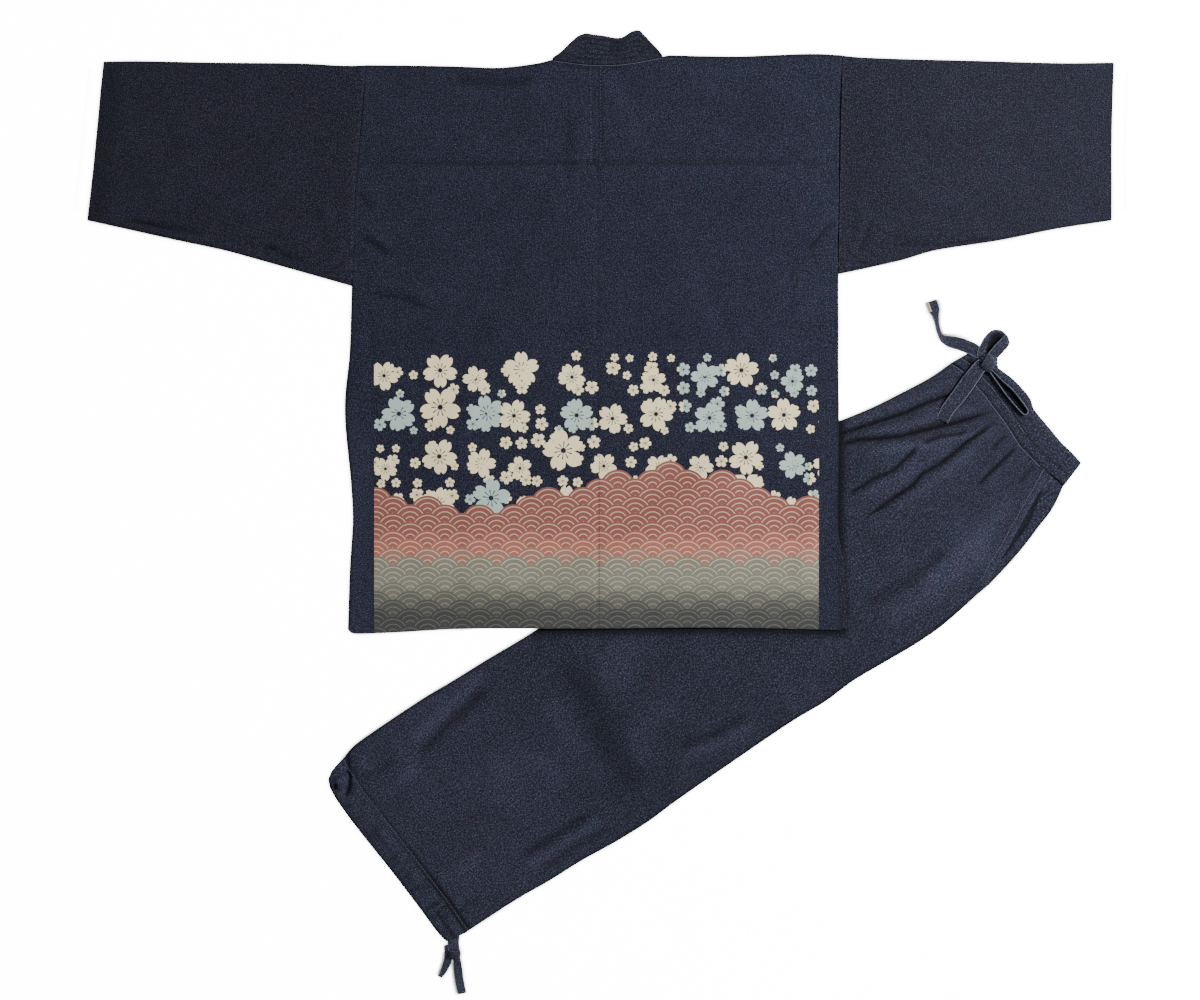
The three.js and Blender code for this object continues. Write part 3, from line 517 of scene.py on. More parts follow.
scale_group, scale_in, scale_out = new_group(
    "wave scale row",
    [("X", "NodeSocketFloat", 0.0), ("Y", "NodeSocketFloat", 0.0), ("Rows Up", "NodeSocketFloat", 0.0)],
    [("Ratio", "NodeSocketFloat"), ("Row Height", "NodeSocketFloat"), ("Cover", "NodeSocketFloat"),
     ("Middle", "NodeSocketFloat")],
)
w = Wires(scale_group)
below_y = w.math("SUBTRACT", scale_in.outputs["Y"], SCALE_RADIUS)
first_row = w.math("CEIL", w.math("DIVIDE", below_y, ROW_STEP))
row = w.math("ADD", first_row, scale_in.outputs["Rows Up"])
row_y = w.math("MULTIPLY", row, ROW_STEP)
odd = w.math("MULTIPLY", w.math("FLOORED_MODULO", row, 2.0), SCALE_RADIUS)
along = w.math("DIVIDE", w.math("SUBTRACT", scale_in.outputs["X"], odd), 2 * SCALE_RADIUS)
from_middle = w.math("MULTIPLY", w.math("SUBTRACT", along, w.math("ROUND", along)), 2 * SCALE_RADIUS)
above = w.math("SUBTRACT", scale_in.outputs["Y"], row_y)
away = w.math("SQRT", w.math("ADD", w.math("POWER", from_middle, 2.0), w.math("POWER", above, 2.0)))
ratio = w.math("DIVIDE", away, SCALE_RADIUS)
w.link(ratio, scale_out.inputs["Ratio"])
w.link(row_y, scale_out.inputs["Row Height"])
w.link(w.math("LESS_THAN", ratio, 1.0), scale_out.inputs["Cover"])
w.link(w.math("SUBTRACT", scale_in.outputs["X"], from_middle), scale_out.inputs["Middle"])

# %% [markdown]
# A blossom is a cell of a Voronoi texture: inside each cell the angle round its middle gives five
# lobes. Each cell's own random colour sets the size, turn and tint of its flower.

# %% Scattered blossoms
blossom_group, blossom_in, blossom_out = new_group(
    "blossoms",
    [("Place", "NodeSocketVector", None), ("Cell", "NodeSocketFloat", 70.0), ("Size", "NodeSocketFloat", 0.4),
     ("Share", "NodeSocketFloat", 1.0), ("Top", "NodeSocketFloat", 200.0)],
    [("Petals", "NodeSocketFloat"), ("Tint", "NodeSocketFloat")],
)
w = Wires(blossom_group)
in_cells = w.node("ShaderNodeVectorMath", [(0, blossom_in.outputs["Place"]), (3, 1.0)], operation="SCALE")
w.link(w.math("DIVIDE", 1.0, blossom_in.outputs["Cell"]), in_cells.inputs["Scale"])
cells = w.node("ShaderNodeTexVoronoi", [("Vector", in_cells.outputs[0]), ("Scale", 1.0), ("Randomness", 0.5)],
               voronoi_dimensions="2D")
offset = w.node("ShaderNodeVectorMath", [(0, in_cells.outputs[0]), (1, cells.outputs["Position"])],
                operation="SUBTRACT").outputs[0]
parts = w.node("ShaderNodeSeparateXYZ", [(0, offset)])
chance = w.node("ShaderNodeSeparateColor", [(0, cells.outputs["Color"])])
angle = w.math("ARCTAN2", parts.outputs["Y"], parts.outputs["X"])
turned = w.math("MULTIPLY_ADD", angle, 2.5, w.math("MULTIPLY", chance.outputs[0], 6.0))
lobe = w.math("ABSOLUTE", w.math("COSINE", turned))
notch = w.math("MULTIPLY", w.math("POWER", lobe, 60.0), 0.16)
reach = w.math("SUBTRACT", w.math("MULTIPLY_ADD", w.math("POWER", lobe, 0.55), 0.56, 0.44), notch)
size = w.math("MULTIPLY", w.math("MULTIPLY_ADD", chance.outputs[1], 0.55, 0.6), blossom_in.outputs["Size"])
radius = w.math("DIVIDE", cells.outputs["Distance"], size)
petals = w.step(w.math("SUBTRACT", reach, radius), 0.0, 0.035)
heart = w.step(radius, 0.1, 0.15)
spokes = w.math("ABSOLUTE", w.math("SINE", w.math("MULTIPLY", turned, 2.0)))
stamens = w.math("MULTIPLY", w.math("GREATER_THAN", spokes, 0.93), w.math("LESS_THAN", radius, 0.42))
petals = w.math("MULTIPLY", petals, w.math("MULTIPLY", heart, w.math("SUBTRACT", 1.0, stamens)))
petals = w.math("MULTIPLY", petals, w.math("LESS_THAN", chance.outputs[2], blossom_in.outputs["Share"]))
heart_at = w.node("ShaderNodeSeparateXYZ", [(0, cells.outputs["Position"])])
top_gap = w.math("SUBTRACT", blossom_in.outputs["Top"], w.math("MULTIPLY", heart_at.outputs["Y"],
                                                               blossom_in.outputs["Cell"]))
fits = w.math("GREATER_THAN", top_gap, w.math("MULTIPLY", size, blossom_in.outputs["Cell"]))
petals = w.math("MULTIPLY", petals, fits)
w.link(petals, blossom_out.inputs["Petals"])
w.link(chance.outputs[0], blossom_out.inputs["Tint"])

# %% Printed panel group
PRINT_LEFT = -301.0
PRINT_RIGHT = 289.0
PRINT_TOP = 218.0 + shift_y
PRINT_FOOT = -160.0 + shift_y
WAVE_TOP = 34.0
cream = srgb(252, 236, 190)
aqua = srgb(176, 198, 190)
brick = srgb(138, 84, 78)
coral = srgb(170, 104, 92)
sage = srgb(122, 122, 110)
soot = srgb(66, 66, 66)

print_group, print_in, print_out = new_group(
    "printed panel",
    [("Place", "NodeSocketVector", None)],
    [("Color", "NodeSocketColor"), ("Ink", "NodeSocketFloat")],
)
w = Wires(print_group)
place = w.scaled(print_in.outputs["Place"], (1000, 1000, 1000))
at = w.node("ShaderNodeSeparateXYZ", [(0, place)])
px = at.outputs["X"]
py = at.outputs["Y"]
rows = [w.node("ShaderNodeGroup", node_tree=scale_group) for _ in range(3)]
for number, row_node in enumerate(rows):
    w.link(px, row_node.inputs["X"])
    w.link(py, row_node.inputs["Y"])
    row_node.inputs["Rows Up"].default_value = number


def choose(socket):
    """The nearest row that covers the point wins; the third one always does."""
    second = w.node("ShaderNodeMix", [(0, rows[1].outputs["Cover"]), (2, rows[2].outputs[socket]),
                                      (3, rows[1].outputs[socket])]).outputs[0]
    return w.node("ShaderNodeMix", [(0, rows[0].outputs["Cover"]), (2, second),
                                    (3, rows[0].outputs[socket])]).outputs[0]


ratio = choose("Ratio")
row_height = choose("Row Height")
rings = w.math("ABSOLUTE", w.math("SUBTRACT", w.math("FRACT", w.math("MULTIPLY", ratio, 3.5)), 0.5))
line = w.step(rings, 0.37, 0.44)
grade = w.node("ShaderNodeValToRGB", [(0, w.step(row_height, PRINT_FOOT + 6, WAVE_TOP))])
grade.color_ramp.elements[0].color = soot
grade.color_ramp.elements[1].color = brick
for spot, tone in ((0.16, sage), (0.34, sage), (0.5, coral), (0.72, brick)):
    grade.color_ramp.elements.new(spot).color = tone
ring_colour = w.mix(w.step(row_height, PRINT_FOOT + 10, -60), sage, cream)
wave_colour = w.mix(w.math("MULTIPLY", line, 0.5), grade.outputs[0], ring_colour)
swell = w.math("MULTIPLY", w.math("SINE", w.math("MULTIPLY_ADD", choose("Middle"), 0.0125, 0.6)), 26.0)
is_wave = w.math("LESS_THAN", row_height, w.math("ADD", swell, WAVE_TOP - 12))
big = w.node("ShaderNodeGroup", node_tree=blossom_group)
big.inputs["Cell"].default_value = 58.0
big.inputs["Size"].default_value = 0.46
big.inputs["Top"].default_value = PRINT_TOP
small_place = w.scaled(place, (1, 1, 1), (37, 11, 0))
small = w.node("ShaderNodeGroup", [("Place", small_place)], node_tree=blossom_group)
small.inputs["Cell"].default_value = 24.0
small.inputs["Size"].default_value = 0.38
small.inputs["Share"].default_value = 0.7
small.inputs["Top"].default_value = PRINT_TOP + 11
w.link(place, big.inputs["Place"])
small_clear = w.math("MULTIPLY", small.outputs["Petals"], w.math("SUBTRACT", 1.0, big.outputs["Petals"]))
flowers = w.math("ADD", big.outputs["Petals"], small_clear, clamp=True)
flower_colour = w.mix(w.math("GREATER_THAN", big.outputs["Tint"], 0.74), cream, aqua)
sides = w.math("MULTIPLY", w.math("GREATER_THAN", px, PRINT_LEFT), w.math("LESS_THAN", px, PRINT_RIGHT))
heights = w.math("MULTIPLY", w.math("LESS_THAN", py, PRINT_TOP), w.math("GREATER_THAN", py, PRINT_FOOT))
panel = w.math("MULTIPLY", sides, heights)
ink = w.math("MULTIPLY", panel, w.math("MAXIMUM", is_wave, flowers))
w.link(w.mix(is_wave, flower_colour, wave_colour), print_out.inputs["Color"])
w.link(ink, print_out.inputs["Ink"])
print("printed panel nodes:", len(print_group.nodes))

# %% [markdown]
# ### Materials
#
# Every denim piece uses the same yarn group with its own two colours. The Principled shader stays
# in the material, and plain numbers such as sheen are set on it directly, so that they survive export.


# %% Denim materials
def denim(name, dark, pale, speckle=0.5, clouds=0.3, bump=0.35, printed=False):
    material = bpy.data.materials.new(name)
    material.use_nodes = True
    tree = material.node_tree
    tree.nodes.clear()
    w = Wires(tree)
    output = w.node("ShaderNodeOutputMaterial")
    shader = w.node("ShaderNodeBsdfPrincipled")
    cloth_map = w.node("ShaderNodeUVMap", uv_map="cloth").outputs[0]
    # Paleness from real wear, and painted highlight on lit ridges, ribbon rims and the knot's strap.
    paleness = w.node("ShaderNodeAttribute", attribute_name="wear_and_painted_light").outputs["Fac"]
    yarns = w.node("ShaderNodeGroup", [("Cloth Map", cloth_map), ("Dark Yarn", dark), ("Pale Yarn", pale),
                                       ("Speckle", speckle), ("Clouds", clouds), ("Wear And Painted Light", paleness)],
                   node_tree=yarn_group)
    colour = yarns.outputs["Color"]
    if printed:
        where = w.node("ShaderNodeTexCoord").outputs["Object"]
        panel_print = w.node("ShaderNodeGroup", [("Place", where)], node_tree=print_group)
        texture = w.math("MULTIPLY_ADD", yarns.outputs["Grey"], 0.16, 0.8)
        cloth_shade = w.node("ShaderNodeCombineColor", [(0, texture), (1, texture), (2, texture)]).outputs[0]
        ink = w.mix(1.0, panel_print.outputs["Color"], cloth_shade, "MULTIPLY")
        colour = w.mix(w.math("MULTIPLY", panel_print.outputs["Ink"], 0.96), colour, ink)
    # Painted shade: the shade attribute darkens the colour towards near-black in creases and seams, beside
    # and under the layers and ribbons above, in the pocket mouth and along turned edges; it also holds a
    # darker band along the left cuff.
    shade = w.node("ShaderNodeAttribute", attribute_name="shade").outputs["Fac"]
    colour = w.mix(w.math("MULTIPLY", shade, 0.92), colour, (0.001, 0.0012, 0.002, 1))
    w.link(colour, shader.inputs["Base Color"])
    rough = w.math("MULTIPLY_ADD", yarns.outputs["Grey"], 0.06, 0.86)
    w.link(rough, shader.inputs["Roughness"])
    raised = w.node("ShaderNodeBump", [("Strength", bump), ("Distance", 0.0006),
                                       ("Height", yarns.outputs["Height"])])
    w.link(raised.outputs[0], shader.inputs["Normal"])
    shader.inputs["Specular IOR Level"].default_value = 0.08
    shader.inputs["Sheen Weight"].default_value = 0.03
    shader.inputs["Sheen Roughness"].default_value = 0.6
    w.link(shader.outputs[0], output.inputs[0])
    return material


def thread_finish(name, tone):
    """Cotton thread: the same noise that makes yarns uneven, at thread size."""
    material = bpy.data.materials.new(name)
    material.use_nodes = True
    w = Wires(material.node_tree)
    shader = material.node_tree.nodes["Principled BSDF"]
    spot = w.node("ShaderNodeTexCoord").outputs["Object"]
    uneven = w.noise(spot, 900.0, 2, 0.6)
    colour = w.mix(uneven, tuple(0.7 * c for c in tone[:3]) + (1,), tone)
    w.link(colour, shader.inputs["Base Color"])
    shader.inputs["Roughness"].default_value = 0.75
    shader.inputs["Specular IOR Level"].default_value = 0.3
    return material


jacket_denim = denim("jacket denim", srgb(14, 15, 23), srgb(74, 75, 98), 0.41, 0.13)
back_denim = denim("printed back denim", srgb(15, 17, 27), srgb(76, 81, 106), 0.41, 0.13, printed=True)
collar_denim = denim("collar denim", srgb(16, 17, 26), srgb(76, 80, 101), 0.45, 0.1, bump=0.35)
trouser_denim = denim("trouser denim", srgb(17, 19, 28), srgb(86, 91, 116), 0.38, 0.15, bump=0.25)
ribbon_denim = denim("ribbon denim", srgb(17, 19, 28), srgb(88, 92, 114), 0.46, 0.1, bump=0.35)
raw_thread = thread_finish("raw edge thread", srgb(222, 206, 170))
dark_thread = thread_finish("indigo thread", srgb(40, 44, 60))
pale_thread = thread_finish("pale thread", srgb(104, 109, 130))


def dress(thing, nodes, material):
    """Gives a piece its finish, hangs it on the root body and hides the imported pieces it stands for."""
    thing.data.materials.append(material)
    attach(thing, "root")
    if nodes:
        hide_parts(*nodes)
    return thing


# %% [markdown]
# ## The jacket's edges
#
# The jacket lies back up. Its side seams, shoulders and hem bow a few millimetres, because nobody lays
# cloth dead straight. The front panels below share the same edges.

# %% Jacket edge tables
SIDE_LEFT = [(-335.8, -154), (-333.2, -74), (-329.2, -8), (-332, 45), (-339.8, 138), (-333.2, 218),
             (-330.5, 303.2)]
SIDE_RIGHT = [(318.5, -154), (316.5, -74), (314.6, -8), (315.8, 138), (315.9, 218), (316.1, 319.2)]
ARMHOLE_LEFT = [(-330.5, 303.2), (-326.5, 428), (-318.5, 520), (-312, 597)]
ARMHOLE_RIGHT = [(316.1, 319.2), (318, 428), (319.5, 520), (322, 610)]
NECK_LEFT = -63.2
NECK_RIGHT = 81.8
NECK_WIDTH = 145.0
NECK_SAG = 8.5
SHOULDER_LEFT = [(-312, 597), (-240, 596.2), (-187, 595), (-134, 593.4), (-87, 598.8), (NECK_LEFT, 604)]
SHOULDER_RIGHT = [(NECK_RIGHT, 607.5), (92, 609.8), (132.3, 609), (185, 608.4), (239, 610.6), (285, 611.8),
                  (322, 610)]
CENTRE_BACK = -4.0
HEM_LEFT = [(-335.8, -154), (-328, -159), (-266.7, -156.9), (-200.2, -153), (-133.7, -151.6),
            (CENTRE_BACK, -151.6)]
HEM_RIGHT = [(CENTRE_BACK, -151.6), (132.3, -150.3), (238.7, -151.6), (318.5, -154)]
YOKE_Y = 466.8


def neck_line(start, end, count=12):
    x = np.linspace(start, end, count)
    share = (x - NECK_LEFT) / NECK_WIDTH
    y = 604 + 3.5 * share - NECK_SAG * np.sin(np.pi * np.clip(share, 0, 1))
    return np.stack([x, y], axis=-1)


def joined(*runs):
    """One line from several that meet end to end."""
    points = [np.asarray(runs[0], float)]
    for run in runs[1:]:
        points.append(np.asarray(run, float)[1:])
    return np.vstack(points)


neck_left = neck_line(NECK_LEFT, CENTRE_BACK)
neck_right = neck_line(CENTRE_BACK, NECK_RIGHT)
back_outline = joined(HEM_LEFT, HEM_RIGHT, SIDE_RIGHT, ARMHOLE_RIGHT, SHOULDER_RIGHT[::-1], neck_right[::-1],
                      neck_left[::-1], SHOULDER_LEFT[::-1], ARMHOLE_LEFT[::-1], SIDE_LEFT[::-1])[:-1]
print("jacket length, mm:", round(back_outline[:, 1].max() - back_outline[:, 1].min()))

# %% [markdown]
# ## The trousers' edges
#
# The trousers are folded in half, so one front panel shows from waist to hem.

# %% Trouser edge tables
LEG_FRONT_EDGE = [(41, -103), (75, -103.4), (118, -109), (174, -118.5), (249, -138), (294, -152),
                  (346, -150), (440, -138), (586, -134), (695, -135), (774, -141), (827, -144.5),
                  (877, -148.6), (979, -151), (1008, -144.7)]
LEG_SIDE_EDGE = [(15.5, 115), (44, 131), (75, 141), (118, 153.8), (174, 165.6), (209, 167.4), (249, 170.2),
                 (294, 170.4), (346, 166), (395, 162), (440, 163), (491, 159), (586, 157), (679, 156),
                 (723, 157), (773, 154), (827, 148), (877, 145), (930, 140), (1005, 137)]
WAIST_EDGE = [(19.6, -100.7), (12, -98), (6, -90.5), (2, -79), (-2, -66), (-6, -55), (-11, -38), (-14, -19),
              (-14.5, -4), (-10.5, 10), (-11.5, 30), (-12.9, 46), (-14.5, 68), (-17.5, 84), (-20, 104)]
WAIST_SEAM = [(41, -103), (35, -86), (30, -43), (29, 2), (31, 38.5), (25, 77), (21.5, 91), (15.5, 115)]
POCKET_MOUTH = [(21.5, 88), (46, 99.5), (73, 111.6), (99.9, 124.7), (126.7, 137.5), (155.4, 149.1),
                (176, 161)]
MOUTH_OPEN = [(31, 89.6), (50, 107.8), (66.7, 118.1), (80.3, 127.8), (97.2, 134), (112.8, 138.6),
              (130.6, 145), (141, 146)]
CASING_SEAM = [(1008, -144.7), (1011, -100), (1009, -40), (1006, 30), (1004, 90), (1005, 137)]
HEM_EDGE = [(1037, -134), (1042, -120), (1043.5, -88), (1042.7, -55), (1041, -21), (1039, 13), (1037, 79.5),
            (1036.7, 112.7), (1034.6, 131)]
leg_outline = joined(WAIST_EDGE, [(-20, 104), (15.5, 115)], LEG_SIDE_EDGE, [(1005, 137), (1034.6, 131)],
                     HEM_EDGE[::-1], [(1037, -134), (1008, -144.7)], LEG_FRONT_EDGE[::-1],
                     [(41, -103), (19.6, -100.7)])[:-1]
leg_outline_x, leg_outline_y = leg_to_table(leg_outline[:, 0], leg_outline[:, 1])
leg_on_table = np.stack([leg_outline_x, leg_outline_y], axis=-1)
print("trouser length, mm:", round(leg_outline[:, 0].max() - leg_outline[:, 0].min()))

# %% [markdown]
# ## Heights of the layers
#
# Cloth takes the form of what it lies on. The jacket comes up over the trousers and down again to the
# table, and each of its own layers lifts the next by its thickness. The creases are rows of a
# table: a line, a width, a height and whether the fold is soft or sharp.

# %% Levels under the jacket
TROUSER_STACK = 9.0
COLLAR_WIDTH = 45
FRONT_OVERLAP = 165
COLLAR_END_Y = 60
SPREAD = 14
SLOPE = 52


def lifted(x, y, outline, amount, spread=SPREAD, slope=SLOPE):
    return amount * smooth(1 - (outside_by(x, y, outline) - spread) / slope)


front_outer_outline = joined(HEM_LEFT, [(CENTRE_BACK, -151.6), (FRONT_OVERLAP, -150.3)],
                             [(FRONT_OVERLAP, -150.3), (FRONT_OVERLAP, COLLAR_END_Y)],
                             [(FRONT_OVERLAP, COLLAR_END_Y), (NECK_LEFT, 604)],
                             SHOULDER_LEFT[::-1], ARMHOLE_LEFT[::-1], SIDE_LEFT[::-1])[:-1]
SIDE_RIGHT_FRONT = [(327.8, -154), (324, -74), (314.6, -8), (315.8, 138), (315.9, 218), (316.1, 319.2)]
front_inner_outline = joined([(-FRONT_OVERLAP, -152), (CENTRE_BACK, -151.6)], HEM_RIGHT[:-1],
                             [(238.7, -151.6), (327.8, -154)], SIDE_RIGHT_FRONT, ARMHOLE_RIGHT,
                             SHOULDER_RIGHT[::-1], [(NECK_RIGHT, 607.5), (-FRONT_OVERLAP, COLLAR_END_Y)],
                             [(-FRONT_OVERLAP, COLLAR_END_Y), (-FRONT_OVERLAP, -152)])[:-1]


def band_corners(neck, end, top):
    """A front band's corners: along the seam from neck to end, and back along its free edge to its top."""
    neck = np.array(neck, float)
    end = np.array(end, float)
    along = (end - neck) / np.hypot(*(end - neck))
    across = np.array([-along[1], along[0]]) * np.sign(end[0] - neck[0])
    return [neck + across * GAP, end + across * GAP, end + across * COLLAR_WIDTH,
            neck + along * 20 + across * COLLAR_WIDTH, np.array(top, float)]


BAND_FLAT = 1.5
outer_band = band_corners((NECK_LEFT, 604), (FRONT_OVERLAP, COLLAR_END_Y), (-30, 626))
inner_band = band_corners((NECK_RIGHT, 607.5), (-FRONT_OVERLAP, COLLAR_END_Y), (50, 629))
TIES = {
    "tie_front": [(153.3, 205), (304, 199), (305, 217), (145.7, 223)],
    "tie_side": [(190, 242), (314, 231), (314, 249), (191, 260)],
}


def raised(x, y, rows):
    """The thickest layer that passes under each point; cloth bridges the small steps between them."""
    return np.max([lifted(x, y, outline, thick + GAP, 6, 26) for outline, thick in rows], axis=0)


def outer_level(x, y):
    return lifted(x, y, leg_on_table, TROUSER_STACK)


def inner_level(x, y):
    rows = [(front_outer_outline, CLOTH), (outer_band, BAND_FLAT)]
    rows += [(tie, BAND_FLAT) for tie in TIES.values()]
    return outer_level(x, y) + raised(x, y, rows)


def back_level(x, y):
    return inner_level(x, y) + raised(x, y, [(front_inner_outline, CLOTH), (inner_band, BAND_FLAT)])


# %% Creases of the jacket
JACKET_CREASES = [
    ([(-322, 381), (-300, 368), (-283, 352)], 7, 2.4, False),
    ([(-318, 370), (-296, 357), (-280, 342)], 5, -1.6, True),
    ([(-325, 362), (-306, 338)], 6, 1.8, False),
    ([(-316, 434), (-290, 410)], 7, 1.6, False),
    ([(-322, 426), (-300, 405)], 4, -1.0, True),
    ([(-312, 306), (-262, 299), (-224, 284)], 8, 2.0, False),
    ([(-308, 294), (-258, 286), (-230, 272)], 5, -1.2, True),
    ([(-322, 285), (-318, 220), (-324, 150)], 9, 1.8, False),
    ([(-306, 280), (-300, 200)], 6, -0.8, False),
    ([(306, 400), (290, 384), (270, 362)], 7, 2.0, False),
    ([(310, 388), (292, 370), (276, 350)], 5, -1.2, True),
    ([(308, 300), (280, 286), (250, 262)], 9, 1.7, False),
    ([(296, 110), (280, 0), (262, -120)], 14, 1.8, False),
    ([(-250, -60), (-170, -84), (-90, -95)], 18, 1.4, False),
    ([(-43, 545), (-44, 490), (-43, 432)], 5, -0.5, False),
    ([(-30, 540), (-31, 450)], 9, 1.2, False),
    ([(-200, 578), (-140, 574), (-84, 577)], 9, -1.6, False),
    ([(-215, 560), (-140, 556), (-60, 560)], 12, 1.2, False),
    ([(120, 560), (200, 540), (280, 552)], 16, 1.0, False),
    ([(-240, 300), (-120, 260), (20, 280)], 26, 1.1, False),
    ([(60, 330), (160, 300), (250, 320)], 24, 1.0, False),
    ([(-280, 120), (-180, 150), (-60, 130)], 26, 1.0, False),
    ([(60, 90), (150, 40), (230, -40)], 22, 1.2, False),
    ([(-180, 440), (-120, 380), (-90, 310)], 20, 0.9, False),
    ([(170, 500), (200, 440), (190, 380)], 20, 0.9, False),
]


def seam_pucker(x, y, line, reach, depth, wave, seed):
    """The small waves that a row of stitches pulls into the cloth beside it."""
    away, share = to_line(x, y, line)
    run = share * length_of(line)
    return -depth * np.exp(-(away / reach) ** 2) * (0.75 + 0.6 * ripple(run, away * 0 + seed, wave, seed))


CENTRE_ROWS_X = (-13.3, -0.3)
centre_rows = [[(x, 596), (x + 1, YOKE_Y)] for x in CENTRE_ROWS_X]
yoke_row = [(-326, 468.5), (-160, 466.5), (CENTRE_BACK, YOKE_Y), (160, 467), (318, 466)]
hem_row = [(-331, -139), (-266, -138.6), (-200, -135), (-133, -133.8), (132, -132.5), (238, -133.5),
           (316, -135)]


def back_roll(x, y, outline, reach, depth):
    """Free edges roll down on to the layer below."""
    closed = np.vstack([outline, outline[:1]])
    away = to_line(x, y, closed)[0]
    return depth * (1 - np.sqrt(1 - np.clip(1 - away / reach, 0, 1) ** 2))


def back_surface(x, y):
    """Lower face of the back, everywhere on the table."""
    height = back_level(x, y)
    edge = to_line(x, y, np.vstack([back_outline, back_outline[:1]]))[0]
    inward = smooth(edge / 55)
    puff = inward * (1.0 + 0.75 * ripple(x, y, 118, 3) + 0.42 * ripple(x, y, 47, 4))
    puff += (0.35 + 0.65 * inward) * fold_height(x, y, JACKET_CREASES)
    puff += smooth(edge / 9) * 0.16 * ripple(x, y, 17, 5)
    for number, line in enumerate(centre_rows):
        puff += seam_pucker(x, y, line, 4.5, 0.75, 9, 20 + number)
    puff += seam_pucker(x, y, [(CENTRE_BACK + 0.3, YOKE_Y), (CENTRE_BACK, -150)], 4, 0.7, 11, 22)
    puff += seam_pucker(x, y, yoke_row, 3.5, 0.35, 12, 23)
    puff += seam_pucker(x, y, hem_row, 4, 0.45, 10, 24)
    return height + np.maximum(puff, -0.6 * GAP) - back_roll(x, y, back_outline, 3.2, 0.9)


# %% [markdown]
# ## Backs
#
# Two panels meet at the centre back seam. Beside a seam the allowance inside makes a faint double
# thickness, and the edge wears pale: the wear value on each point carries that to the finish.


# %% Back panels
def inset_line(line, by, out=1):
    """A line moved sideways by the same amount all along."""
    line = np.asarray(line, float)
    run = np.gradient(line, axis=0)
    side = np.stack([run[:, 1], -run[:, 0]], axis=-1)
    side /= np.hypot(*side.T)[:, None]
    return line + side * by * out


def edge_wear(x, y, lines, reach, amount):
    paleness = np.zeros(np.shape(x))
    for line in lines:
        away = to_line(x, y, line)[0]
        paleness = np.maximum(paleness, np.exp(-(away / reach) ** 2) * (0.6 + 0.4 * ripple(x, y, 9, 61)))
    return np.clip(paleness * amount, 0, 1)


def edge_shade(x, y, lines, reach=2.4, amount=0.72):
    """Painted shade on the rim where the cloth turns down at an outer edge."""
    away = np.min([to_line(x, y, line)[0] for line in lines], axis=0)
    return amount * np.exp(-(away / reach) ** 2)


back_seams = [joined(SIDE_LEFT, ARMHOLE_LEFT), joined(SIDE_RIGHT, ARMHOLE_RIGHT),
              joined(HEM_LEFT, HEM_RIGHT)]
back_grooves = [inset_line(neck_line(-58, 40), 4), centre_rows[1], yoke_row]
back_rims = [SIDE_LEFT, SIDE_RIGHT, SHOULDER_LEFT, SHOULDER_RIGHT]
BACK_CELL = 4.0


def back_panel(name, bottom, top, left, right):
    net = patch(bottom, top, left, right, BACK_CELL, BACK_CELL)
    x, y = net[:2]
    rows = JACKET_CREASES + [(line, 3.0, -1.6, False) for line in back_grooves]
    paleness = edge_wear(x, y, back_seams, 3.0, 0.14)
    # The lower left side of the back is made paler.
    paleness = np.clip(paleness + 0.16 * smooth((-296 - x) / 14) * smooth((210 - y) / 160), 0, 1)
    # Painted shade in the creases, in the seam grooves and along the turned outer edges.
    dark = np.maximum(fold_shade(x, y, rows), edge_shade(x, y, back_rims))
    panel = wall(name, net, back_surface(x, y), CLOTH, paleness, shade=dark)
    return dress(panel, [name], back_denim)


SEAM_HALF = 0.15
back_left = back_panel(
    "back_left",
    HEM_LEFT[:-1] + [(CENTRE_BACK - SEAM_HALF, -151.6)],
    joined(SHOULDER_LEFT, neck_line(NECK_LEFT, CENTRE_BACK - SEAM_HALF)),
    joined(SIDE_LEFT, ARMHOLE_LEFT),
    [(CENTRE_BACK - SEAM_HALF, -151.6), (CENTRE_BACK - SEAM_HALF, neck_left[-1][1])],
)
back_right = back_panel(
    "back_right",
    [(CENTRE_BACK + SEAM_HALF, -151.6)] + HEM_RIGHT[1:],
    joined(neck_line(CENTRE_BACK + SEAM_HALF, NECK_RIGHT), SHOULDER_RIGHT),
    [(CENTRE_BACK + SEAM_HALF, -151.6), (CENTRE_BACK + SEAM_HALF, neck_right[0][1])],
    joined(SIDE_RIGHT, ARMHOLE_RIGHT),
)
print("back panels, m2 each:", [round(flat_area(thing), 3) for thing in (back_left, back_right)])

# %% [markdown]
# ## Fronts
#
# Both fronts lie hidden under the back and show only at the edges and from below. They follow
# the same levels, so they are simple nets: a straight slanted neck edge and a straight front edge.

# %% Front panels
FRONT_CELL = 9.0


def squeezed(line, inset, middle, half):
    """The line drawn in towards a middle, by about the inset at the half width and half height given."""
    return np.array(middle) + (np.asarray(line, float) - middle) * (1 - inset / np.array(half))


def front_panel(name, bottom, top, left, right, level):
    edges = [squeezed(edge, 1.5, (0.0, 228.0), (325.0, 380.0)) for edge in (bottom, top, left, right)]
    net = patch(*edges, FRONT_CELL, FRONT_CELL)
    panel = wall(name, net, level(net[0], net[1]) + 0.05, CLOTH)
    return dress(panel, [name], jacket_denim)


